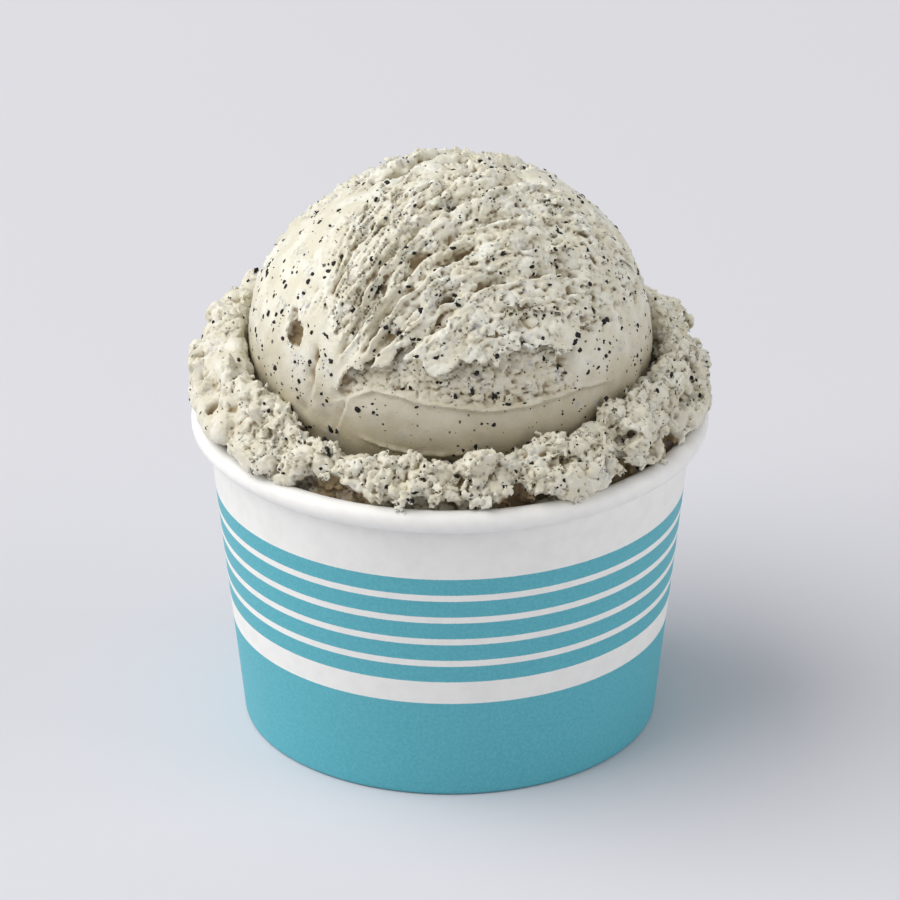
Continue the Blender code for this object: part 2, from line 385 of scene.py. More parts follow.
@dataclass(frozen=True)
class Carving:
    """A box of cells in which the surface of a distance field is found."""

    low: tuple[float, float, float]
    high: tuple[float, float, float]
    step: float

    def counts(self) -> tuple[int, int, int]:
        """Grid points along each direction."""
        return tuple(int(math.ceil((top - base) / self.step)) + 1 for base, top in zip(self.low, self.high))

    def spots(self, index: Array) -> Array:
        """Places of grid points, given their flat numbers."""
        places = np.stack(np.unravel_index(index, self.counts()), axis=1).astype(np.float32)
        return places * np.float32(self.step) + np.array(self.low, dtype=np.float32)

    def fill(self, rough: Field, exact: Field, reach: float) -> Array:
        """Work out the field, exactly only near the surface.

        Args:
            rough: A quick field of the plain body.
            exact: The field with its relief.
            reach: How far from the plain body the relief can reach.

        Returns:
            The field on the grid.
        """
        total = int(np.prod(self.counts()))
        values = np.empty(total, dtype=np.float32)

        def work(start: int) -> None:
            """Fill one run of the grid."""
            index = np.arange(start, min(start + CHUNK * 8, total))
            plain = rough(self.spots(index))
            values[index] = plain
            near = index[np.abs(plain) < reach]
            for first in range(0, len(near), CHUNK):
                part = near[first:first + CHUNK]
                values[part] = exact(self.spots(part))

        with ThreadPoolExecutor(WORKERS) as pool:
            list(pool.map(work, range(0, total, CHUNK * 8)))
        return values.reshape(self.counts())

    def surface(self, values: Array) -> Shell:
        """Find the surface where the field is 0, as an even net of quads.

        Args:
            values: The field on the grid, below 0 inside.

        Returns:
            The net, open where the surface leaves the box.
        """
        inside = values < 0.0
        cells = tuple(count - 1 for count in values.shape)
        corners = [(x, y, z) for x in (0, 1) for y in (0, 1) for z in (0, 1)]

        def window(block: Array, corner: tuple[int, int, int]) -> Array:
            """The values at one corner of every cell."""
            return block[tuple(slice(shift, shift + size) for shift, size in zip(corner, cells))]

        tally = np.zeros(cells, dtype=np.uint8)
        for corner in corners:
            tally += window(inside, corner)
        mixed = (tally > 0) & (tally < len(corners))
        place = np.argwhere(mixed)
        number = np.full(cells, -1, dtype=np.int32)
        number[mixed] = np.arange(len(place))

        total = np.zeros((len(place), 3))
        crossings = np.zeros(len(place))
        for corner in corners:
            for axis in range(3):
                if corner[axis]:
                    continue
                far = list(corner)
                far[axis] = 1
                here = window(values, corner)[mixed]
                there = window(values, tuple(far))[mixed]
                crossed = (here < 0.0) != (there < 0.0)
                gap = np.where(crossed, here - there, 1.0)
                share = np.where(crossed, here / gap, 0.0)
                for direction in range(3):
                    offset = corner[direction] + (share if direction == axis else 0.0)
                    total[:, direction] += np.where(crossed, offset, 0.0)
                crossings += crossed
        spots = (place + total / crossings[:, None]) * self.step + np.array(self.low)

        quads = []
        for axis in range(3):
            second, third = (axis + 1) % 3, (axis + 2) % 3
            span = [slice(1, size) for size in cells]
            span[axis] = slice(0, cells[axis])
            ahead = list(span)
            ahead[axis] = slice(1, cells[axis] + 1)
            here, there = inside[tuple(span)], inside[tuple(ahead)]
            for outward in (True, False):
                edge = np.argwhere(here & ~there if outward else there & ~here)
                edge += [0 if direction == axis else 1 for direction in range(3)]
                ring = []
                for step_second, step_third in ((1, 1), (0, 1), (0, 0), (1, 0)):
                    cell = edge.copy()
                    cell[:, second] -= step_second
                    cell[:, third] -= step_third
                    ring.append(number[tuple(cell.T)])
                quad = np.stack(ring, axis=1)
                quads.append(quad if outward else quad[:, ::-1])
        return Shell(spots, np.concatenate(quads), np.zeros((0, 3), dtype=np.int64))


def add_mesh(name: str, shell: Shell, marks: dict[str, Array] | None = None) -> bpy.types.Object:
    """Turn plain arrays into a smooth-shaded object.

    Args:
        name: The object's name.
        shell: Its mesh in millimetres.
        marks: Values for each point, by the name of the attribute that holds them.

    Returns:
        The new object.
    """
    mesh = bpy.data.meshes.new(name)
    quads, triangles = len(shell.quads), len(shell.triangles)
    mesh.vertices.add(len(shell.spots))
    mesh.vertices.foreach_set("co", (shell.spots * MM).astype(np.float32).ravel())
    mesh.loops.add(4 * quads + 3 * triangles)
    corners = np.concatenate([shell.quads.ravel(), shell.triangles.ravel()]).astype(np.int32)
    mesh.loops.foreach_set("vertex_index", corners)
    mesh.polygons.add(quads + triangles)
    starts = np.concatenate([np.arange(quads) * 4, 4 * quads + np.arange(triangles) * 3])
    mesh.polygons.foreach_set("loop_start", starts.astype(np.int32))
    mesh.update(calc_edges=True)
    mesh.shade_smooth()
    for title, values in (marks or {}).items():
        mark = mesh.attributes.new(title, "FLOAT", "POINT")
        mark.data.foreach_set("value", values.astype(np.float32))
    item = bpy.data.objects.new(name, mesh)
    bpy.context.scene.collection.objects.link(item)
    return item


def dress(item: bpy.types.Object, finish: bpy.types.Material, nodes: Sequence[str]) -> None:
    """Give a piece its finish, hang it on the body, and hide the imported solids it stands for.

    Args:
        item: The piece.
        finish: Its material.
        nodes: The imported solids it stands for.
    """
    item.data.materials.append(finish)
    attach(item, BODY)
    if nodes:
        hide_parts(*nodes)
    LOG.info("%s: %d points, %d faces", item.name, len(item.data.vertices), len(item.data.polygons))


# ---------------------------------------------------------------- finishes

class NodeBench:
    """Lays out the nodes of one material."""

    def __init__(self, name: str) -> None:
        """Start a material with a Principled shader."""
        self.material = bpy.data.materials.new(name)
        self.material.use_nodes = True
        self.tree = self.material.node_tree
        self.shader = self.tree.nodes["Principled BSDF"]
        place = self.tree.nodes.new("ShaderNodeTexCoord")
        self.place = place.outputs["Object"]

    def feed(self, socket: bpy.types.NodeSocket, value: object) -> None:
        """Set a socket to a number or colour, or link another socket to it."""
        if isinstance(value, bpy.types.NodeSocket):
            self.tree.links.new(value, socket)
        elif isinstance(value, tuple) and len(value) == 3 and len(socket.default_value) == 4:
            socket.default_value = (*value, 1.0)
        else:
            socket.default_value = value

    def maths(self, kind: str, *values: object, clamp: bool = False) -> bpy.types.NodeSocket:
        """Combine values with one arithmetic step.

        Args:
            kind: The operation.
            values: Numbers or sockets.
            clamp: Whether the result stays within 0 and 1.

        Returns:
            The result.
        """
        node = self.tree.nodes.new("ShaderNodeMath")
        node.operation = kind
        node.use_clamp = clamp
        for socket, value in zip(node.inputs, values):
            self.feed(socket, value)
        return node.outputs[0]

    def ramp(self, value: object, low: float, high: float, start: float = 0.0, end: float = 1.0) -> bpy.types.NodeSocket:
        """Map a value smoothly from one range to another."""
        node = self.tree.nodes.new("ShaderNodeMapRange")
        node.interpolation_type = "SMOOTHSTEP"
        for name, number in (("Value", value), ("From Min", low), ("From Max", high), ("To Min", start), ("To Max", end)):
            self.feed(node.inputs[name], number)
        return node.outputs["Result"]

    def blend(self, share: object, first: object, second: object, kind: str = "MIX") -> bpy.types.NodeSocket:
        """Mix two colours.

        Args:
            share: How much of the second.
            first: A colour or a socket.
            second: A colour or a socket.
            kind: The way they mix.

        Returns:
            The mixed colour.
        """
        node = self.tree.nodes.new("ShaderNodeMix")
        node.data_type = "RGBA"
        node.blend_type = kind
        colours = [socket for socket in node.inputs if socket.type == "RGBA"]
        self.feed(node.inputs[0], share)
        self.feed(colours[0], first)
        self.feed(colours[1], second)
        return next(socket for socket in node.outputs if socket.type == "RGBA")

    def stretched(self, scale: tuple[float, float, float], shift: Colour = (0.0, 0.0, 0.0)) -> bpy.types.NodeSocket:
        """Object coordinates, scaled in each direction and moved."""
        node = self.tree.nodes.new("ShaderNodeMapping")
        self.feed(node.inputs["Vector"], self.place)
        node.inputs["Scale"].default_value = scale
        node.inputs["Location"].default_value = shift
        return node.outputs["Vector"]

    def grain(self, size: float, detail: float = 2.0, place: object = None, rough: float = 0.5) -> bpy.types.NodeSocket:
        """Fractal noise with lumps of a given size in millimetres."""
        node = self.tree.nodes.new("ShaderNodeTexNoise")
        self.feed(node.inputs["Vector"], place or self.place)
        node.inputs["Scale"].default_value = 1.0 / (size * MM)
        node.inputs["Detail"].default_value = detail
        node.inputs["Roughness"].default_value = rough
        return node.outputs["Fac"]

    def cells(self, size: float, place: object, output: str = "Distance") -> bpy.types.NodeSocket:
        """Cells of a given size in millimetres: the distance from their points, or their colour."""
        node = self.tree.nodes.new("ShaderNodeTexVoronoi")
        self.feed(node.inputs["Vector"], place)
        node.inputs["Scale"].default_value = 1.0 / (size * MM)
        return node.outputs[output]

    def shaken(self, size: float, reach: float) -> bpy.types.NodeSocket:
        """Object coordinates pushed about by noise, so that round marks turn ragged."""
        node = self.tree.nodes.new("ShaderNodeTexNoise")
        self.feed(node.inputs["Vector"], self.place)
        node.inputs["Scale"].default_value = 1.0 / (size * MM)
        node.inputs["Detail"].default_value = 1.0
        push = self.tree.nodes.new("ShaderNodeVectorMath")
        push.operation = "MULTIPLY_ADD"
        self.feed(push.inputs[0], node.outputs["Color"])
        push.inputs[1].default_value = (reach * MM,) * 3
        self.feed(push.inputs[2], self.place)
        return push.outputs["Vector"]

    def relief(self, height: bpy.types.NodeSocket, strength: float, depth: float) -> None:
        """Give the shader a fine bump, depth millimetres deep."""
        node = self.tree.nodes.new("ShaderNodeBump")
        node.inputs["Strength"].default_value = strength
        node.inputs["Distance"].default_value = depth * MM
        self.feed(node.inputs["Height"], height)
        self.feed(self.shader.inputs["Normal"], node.outputs["Normal"])

    def set(self, **values: object) -> None:
        """Feed the shader's sockets, each named with _ for a space."""
        for name, value in values.items():
            self.feed(self.shader.inputs[name.replace("_", " ")], value)


@dataclass(frozen=True)
class PaperFinish:
    """White cup board with a soft satin face."""

    white: Colour = (0.875, 0.865, 0.84)
    shade: Colour = (0.835, 0.825, 0.80)
    roughness: float = 0.48

    def board(self, bench: NodeBench) -> bpy.types.NodeSocket:
        """The colour of the bare board, clouded a little by its fibres."""
        cloud = bench.ramp(bench.grain(2.4, 4.0), 0.35, 0.7)
        return bench.blend(cloud, self.white, self.shade)

    def finish(self, bench: NodeBench, colour: bpy.types.NodeSocket) -> bpy.types.Material:
        """Give the bench's shader the board's colour, sheen and fibre relief."""
        fibres = bench.grain(0.35, 3.0, rough=0.6)
        cockle = bench.grain(5.0, 1.0)
        bench.relief(bench.maths("MULTIPLY_ADD", cockle, 1.6, fibres), 0.22, 0.08)
        bench.set(Base_Color=colour, Roughness=bench.ramp(fibres, 0.3, 0.7, self.roughness, self.roughness + 0.1))
        bench.set(Specular_IOR_Level=0.7)
        return bench.material

    def build(self) -> bpy.types.Material:
        """The plain board of the bottom."""
        bench = NodeBench("cup_board")
        return self.finish(bench, self.board(bench))


@dataclass(frozen=True)
class PrintedFinish:
    """Board with bands of one ink, which run level round the cup."""

    ink: Colour = (0.062, 0.385, 0.47)
    ink_light: Colour = (0.105, 0.45, 0.535)
    foot_top: float = 15.96
    stripe_low: float = 19.64
    stripe_pitch: float = 3.69
    stripe_height: float = 2.68
    stripes: int = 5
    edge: float = 0.07

    def bands(self, bench: NodeBench) -> bpy.types.NodeSocket:
        """1 where the ink is: the foot and the stripes above it."""
        split = bench.tree.nodes.new("ShaderNodeSeparateXYZ")
        bench.feed(split.inputs[0], bench.place)
        bleed = bench.maths("MULTIPLY", bench.maths("SUBTRACT", bench.grain(0.3, 2.0), 0.5), 0.12)
        height = bench.maths("ADD", bench.maths("MULTIPLY", split.outputs["Z"], 1.0 / MM), bleed)
        foot = bench.ramp(height, self.foot_top + self.edge, self.foot_top - self.edge)
        climb = bench.maths("SUBTRACT", height, self.stripe_low)
        beat = bench.maths("WRAP", climb, self.stripe_pitch, 0.0)
        lower = bench.ramp(beat, -self.edge, self.edge)
        upper = bench.ramp(beat, self.stripe_height + self.edge, self.stripe_height - self.edge)
        top = self.stripes * self.stripe_pitch - 0.5 * (self.stripe_pitch - self.stripe_height)
        above = bench.ramp(climb, -self.edge, self.edge)
        below = bench.ramp(climb, top + self.edge, top - self.edge)
        stripe = bench.maths("MULTIPLY", bench.maths("MULTIPLY", lower, upper), bench.maths("MULTIPLY", above, below))
        return bench.maths("MAXIMUM", foot, stripe)

    def build(self) -> bpy.types.Material:
        """The printed sidewall."""
        bench = NodeBench("printed_board")
        board = PaperFinish()
        mottle = bench.ramp(bench.grain(0.45, 4.0, rough=0.7), 0.3, 0.72)
        ink = bench.blend(mottle, self.ink, self.ink_light)
        colour = bench.blend(self.bands(bench), board.board(bench), ink)
        return board.finish(bench, colour)


class Texture(Enum):
    """The share of darker cream low down on the gelato."""

    SMOOTH = 0.9
    TORN = 0.15


@dataclass(frozen=True)
class GelatoFinish:
    """Cream with painted shade in its hollows, a painted highlight on its crests, blurred cookie smears and fine dark
    dust.
    """

    name: str
    texture: Texture
    cream: Colour = (0.71, 0.67, 0.535)
    # pale: a random paler tone, and the painted highlight on crests
    pale: Colour = (0.83, 0.81, 0.715)
    darker_cream: Colour = (0.42, 0.36, 0.24)
    # painted shade: the dark brown laid into cracks, hollows, the pit and the gaps by the rim
    hollow: Colour = (0.26, 0.18, 0.085)
    smear: Colour = (0.36, 0.37, 0.42)
    dust: Colour = (0.040, 0.036, 0.034)
    darker_cream_top: float = 74.0       # the gelato turns darker from here down
    darker_cream_low: float = 54.0

    def dots(self, bench: NodeBench, size: float, radius: float, share: float) -> bpy.types.NodeSocket:
        """Scattered ragged dots.

        Args:
            bench: Where the nodes go.
            size: Spacing of the cells that may hold a dot.
            radius: Size of a dot, as a share of its cell.
            share: How many of the cells hold one.

        Returns:
            1 on a dot.
        """
        place = bench.shaken(0.35, 0.35)
        away = bench.cells(size, place)
        lot = bench.tree.nodes.new("ShaderNodeSeparateColor")
        bench.feed(lot.inputs[0], bench.cells(size, place, "Color"))
        chosen = bench.maths("LESS_THAN", lot.outputs[0], share)
        reach = bench.maths("MULTIPLY", bench.maths("MULTIPLY_ADD", lot.outputs[1], 0.8, 0.5), radius)
        near = bench.maths("SUBTRACT", 1.0, bench.maths("DIVIDE", away, reach))
        return bench.maths("MULTIPLY", chosen, bench.ramp(near, 0.0, 0.35))

    def build(self) -> bpy.types.Material:
        """The gelato's material."""
        bench = NodeBench(self.name)
        # the hollow depths below drive the painted shade in hollows and the painted highlight on crests
        depth = bench.tree.nodes.new("ShaderNodeAttribute")
        depth.attribute_name = "hollow"
        depth = depth.outputs["Fac"]
        cloud = bench.grain(3.0, 3.0)
        colour = bench.blend(bench.ramp(cloud, 0.35, 0.7), self.cream, self.pale)
        split = bench.tree.nodes.new("ShaderNodeSeparateXYZ")
        bench.feed(split.inputs[0], bench.place)
        height = bench.maths("MULTIPLY_ADD", bench.grain(6.0, 2.0), 4.0 * MM, split.outputs["Z"])
        # darker towards the bottom, in the share that the texture gives
        low = bench.ramp(height, self.darker_cream_top * MM, self.darker_cream_low * MM)
        colour = bench.blend(bench.maths("MULTIPLY", low, self.texture.value), colour, self.darker_cream)
        # painted highlight: points that stand above their smoothed surface are turned paler
        crest = bench.ramp(depth, -0.02, -0.22)
        colour = bench.blend(bench.maths("MULTIPLY", crest, 0.8), colour, self.pale)
        # painted shade: points that lie below their smoothed surface take the hollow colour
        sunk = bench.ramp(depth, 0.02, 0.26)
        colour = bench.blend(bench.maths("MULTIPLY", sunk, 0.92), colour, self.hollow)
        smear = bench.maths("MULTIPLY", self.dots(bench, 3.6, 0.5, 0.40), bench.ramp(bench.grain(0.6, 3.0), 0.45, 0.7))
        colour = bench.blend(bench.maths("MULTIPLY", smear, 0.7), colour, self.smear)
        for size, radius, share, weight in ((0.9, 0.22, 0.13, 0.75), (1.5, 0.20, 0.16, 0.9)):
            dot = self.dots(bench, size, radius, share)
            colour = bench.blend(bench.maths("MULTIPLY", dot, weight), colour, self.dust)
        fine = bench.grain(0.28, 2.0, rough=0.6)
        lumps = bench.grain(0.8, 3.0, rough=0.6)
        bench.relief(bench.maths("MULTIPLY_ADD", lumps, 1.5, fine), 0.32, 0.25)
        bench.set(Base_Color=colour, Roughness=bench.ramp(lumps, 0.3, 0.7, 0.48, 0.62))
        bench.set(Subsurface_Weight=0.12, Subsurface_Radius=(1.0, 0.75, 0.5), Subsurface_Scale=0.0006)
        bench.set(Specular_IOR_Level=0.35)
        return bench.material


@dataclass(frozen=True)
class CookieFinish:
    """Near-black cookie, with a cold grey bloom where cream has smeared it."""

    dark: Colour = (0.010, 0.009, 0.008)
    bloom: Colour = (0.034, 0.032, 0.033)

    def build(self) -> bpy.types.Material:
        """The grains' material."""
        bench = NodeBench("dark_cookie")
        patch = bench.ramp(bench.grain(0.5, 3.0), 0.45, 0.7)
        bench.set(Base_Color=bench.blend(patch, self.dark, self.bloom), Roughness=bench.ramp(patch, 0.0, 1.0, 0.55, 0.8))
        bench.relief(bench.grain(0.12, 2.0), 0.4, 0.05)
        bench.set(Specular_IOR_Level=0.2)
        return bench.material


@dataclass(frozen=True)
class FloorFinish:
    """A pale matt studio sheet."""

    tone: Colour = (0.672, 0.669, 0.709)
    drift: Colour = (0.667, 0.664, 0.704)

    def build(self) -> bpy.types.Material:
        """The floor's material."""
        bench = NodeBench("studio_sheet")
        bench.set(Base_Color=bench.blend(bench.grain(60.0, 1.0), self.tone, self.drift))
        bench.set(Roughness=0.95, Specular_IOR_Level=0.1)
        return bench.material


# ---------------------------------------------------------------- the paper cup

Outline = list[tuple[float, float]]


def arc(centre: tuple[float, float], radius: float, start: float, end: float, count: int) -> Outline:
    """Points on an arc in the (radius, height) plane.

    Args:
        centre: The arc's centre.
        radius: Its radius.
        start: The angle of its first point in degrees.
        end: The angle of its last point.
        count: The number of points.

    Returns:
        The points.
    """
    angles = [math.radians(start + (end - start) * step / (count - 1)) for step in range(count)]
    return [(centre[0] + radius * math.cos(angle), centre[1] + radius * math.sin(angle)) for angle in angles]


def sheet_outline(path: Outline, thickness: float, end_points: int = 5) -> Outline:
    """Outline of a folded sheet, with rounded ends.

    Args:
        path: The middle of the sheet.
        thickness: Its thickness.
        end_points: Points on the half round of an end.

    Returns:
        The closed outline.
    """
    line = np.array(path)
    run = np.gradient(line, axis=0)
    run /= np.linalg.norm(run, axis=1, keepdims=True)
    side = np.stack([-run[:, 1], run[:, 0]], axis=1) * thickness / 2
    left, right = line + side, line - side
    caps = []
    for spot, away in ((line[-1], run[-1]), (line[0], -run[0])):
        facing = math.degrees(math.atan2(away[1], away[0]))
        caps.append(arc(tuple(spot), thickness / 2, facing + 90.0, facing - 90.0, end_points)[1:-1])
    return [*map(tuple, left), *caps[0], *map(tuple, right[::-1]), *caps[1]]


def lathe(outline: Outline, steps: int) -> Shell:
    """Turn a closed outline round the axis.

    Args:
        outline: Points (radius, height); a radius of 0 lies on the axis.
        steps: Segments round the axis.

    Returns:
        The turned body.
    """
    profile = np.array(outline)
    angles = np.linspace(0.0, 2.0 * math.pi, steps, endpoint=False)
    spots = np.stack(
        [np.outer(np.sin(angles), profile[:, 0]),
         np.outer(-np.cos(angles), profile[:, 0]),
         np.tile(profile[:, 1], (steps, 1))],
        axis=2,
    ).reshape(-1, 3)
    rows = len(profile)
    here = np.arange(steps)[:, None] * rows
    there = (np.arange(steps)[:, None] + 1) % steps * rows
    low = np.arange(rows)[None, :]
    high = (low + 1) % rows
    quads = np.stack([here + low, there + low, there + high, here + high], axis=2).reshape(-1, 4)
    return Shell(spots, quads, np.zeros((0, 3), dtype=np.int64))


def facing_out(shell: Shell) -> Shell:
    """The same closed body with its faces turned outward."""
    corners = shell.spots[shell.quads]
    volume = np.einsum("ij,ij->i", corners[:, 0], np.cross(corners[:, 1], corners[:, 2])).sum()
    volume += np.einsum("ij,ij->i", corners[:, 0], np.cross(corners[:, 2], corners[:, 3])).sum()
    return shell if volume > 0.0 else Shell(shell.spots, shell.quads[:, ::-1], shell.triangles)


@dataclass(frozen=True)
class PaperCup:
    """A tapered cup of one wrapped sheet, rolled into a bead above and folded to a hem below."""

    rim_radius: float = 38.0
    height: float = 48.8
    foot_radius: float = 30.64
    taper: float = 0.107        # growth of the radius for each millimetre of height
    paper: float = 0.45
    bead: float = 3.28
    gap: float = 0.3
    hem: float = 5.0
    hem_corner: float = 0.45
    base_raised: float = 6.0
    base_corner: float = 0.9
    steps: int = 240
    seam_azimuth: float = 163.0
    seam_step: float = 0.16

    def wall_middle(self, height: float) -> float:
        """Radius of the middle of the sidewall's paper."""
        return self.foot_radius + self.taper * height - self.paper / 2

    def wall_inside(self, height: Array | float) -> Array | float:
        """Radius of the sidewall's inner face."""
        return self.foot_radius + self.taper * height - self.paper

    def bead_centre(self) -> tuple[float, float]:
        """Centre (radius, height) of the rolled rim."""
        return self.rim_radius - self.bead / 2, self.height - self.bead / 2

    def bead_distance(self, spots: Array) -> Array:
        """Distance of each place from the outside of the rolled rim."""
        ring, level = self.bead_centre()
        across = np.hypot(spots[:, 0], spots[:, 1]) - ring
        return np.hypot(across, spots[:, 2] - level) - self.bead / 2

    def wall_path(self) -> Outline:
        """Middle of the sheet: the tucked end, the bead, the wall, the hem's fold and its leg."""
        ring, level = self.bead_centre()
        curl = arc((ring, level), (self.bead - self.paper) / 2, -100.0, 188.0, 44)
        wall_top = level - self.bead / 2
        low = self.paper / 2 + self.hem_corner
        outer = self.wall_middle(low)
        inner = outer - 2 * (self.paper + self.gap)
        wall = [(self.wall_middle(level), level) for level in np.linspace(wall_top, low + 1.0, 24)]
        fold = arc((outer - self.hem_corner, low), self.hem_corner, 0.0, -90.0, 6)
        fold += arc((inner + self.hem_corner, low), self.hem_corner, -90.0, -180.0, 6)
        lean = self.wall_middle(self.hem) - self.wall_middle(low)
        return curl + wall + fold + [(inner + 0.5 * lean, (low + self.hem) / 2), (inner + lean, self.hem)]

    def add_seam(self, shell: Shell) -> Shell:
        """Let the sheet's outer end stand proud where it overlaps, down the back of the cup."""
        turned = turn_between(azimuth_of(shell.spots), self.seam_azimuth)
        over = smooth_step(-9.0, 0.0, turned) * (turned < 0.8)
        level = self.bead_centre()[1] - self.bead / 2
        lower = smooth_step(level, level - 1.0, shell.spots[:, 2]) * smooth_step(0.2, 1.2, shell.spots[:, 2])
        radius = np.hypot(shell.spots[:, 0], shell.spots[:, 1])
        outer = radius > self.wall_inside(shell.spots[:, 2]) + 0.5 * self.paper
        grow = 1.0 + self.seam_step * over * lower * outer / radius
        return Shell(shell.spots * np.stack([grow, grow, np.ones_like(grow)], axis=1), shell.quads, shell.triangles)

    def build_wall(self) -> bpy.types.Object:
        """The printed sidewall."""
        shell = facing_out(lathe(sheet_outline(self.wall_path(), self.paper), self.steps))
        wall = add_mesh("printed_sidewall", self.add_seam(shell))
        dress(wall, PrintedFinish().build(), ["cup_wall"])
        return wall

    def build_base(self) -> bpy.types.Object:
        """The raised bottom, with its skirt between the hem's legs."""
        middle = self.base_raised + self.paper / 2
        skirt_low = self.paper * 1.5 + self.gap
        ring = self.wall_middle(middle - self.base_corner) - (self.paper + self.gap)
        foot = self.wall_middle(skirt_low) - (self.paper + self.gap)
        disc = [(radius, middle) for radius in np.linspace(0.4, ring - self.base_corner - 0.5, 12)]
        corner = arc((ring - self.base_corner, middle - self.base_corner), self.base_corner, 90.0, 0.0, 8)
        outline = sheet_outline(disc + corner + [(foot, skirt_low)], self.paper)
        base = add_mesh("raised_bottom", self.with_middle(facing_out(lathe(outline, self.steps // 2))))
        dress(base, PaperFinish().build(), ["cup_base"])
        return base

    def with_middle(self, shell: Shell) -> Shell:
        """Draw the small hole in the middle of the bottom shut."""
        radius = np.hypot(shell.spots[:, 0], shell.spots[:, 1])
        share = smooth_step(0.0, 0.42, radius)[:, None]
        return Shell(shell.spots * np.concatenate([share, share, np.ones_like(share)], axis=1), shell.quads, shell.triangles)


# ---------------------------------------------------------------- the scoop

@dataclass(frozen=True)
class Tear:
    """A drag tear: the surface sinks slowly towards it and jumps back up at a frilled edge."""

    level: float                # place across the drag lines
    start: float                # where it starts, sideways
    end: float
    depth: float


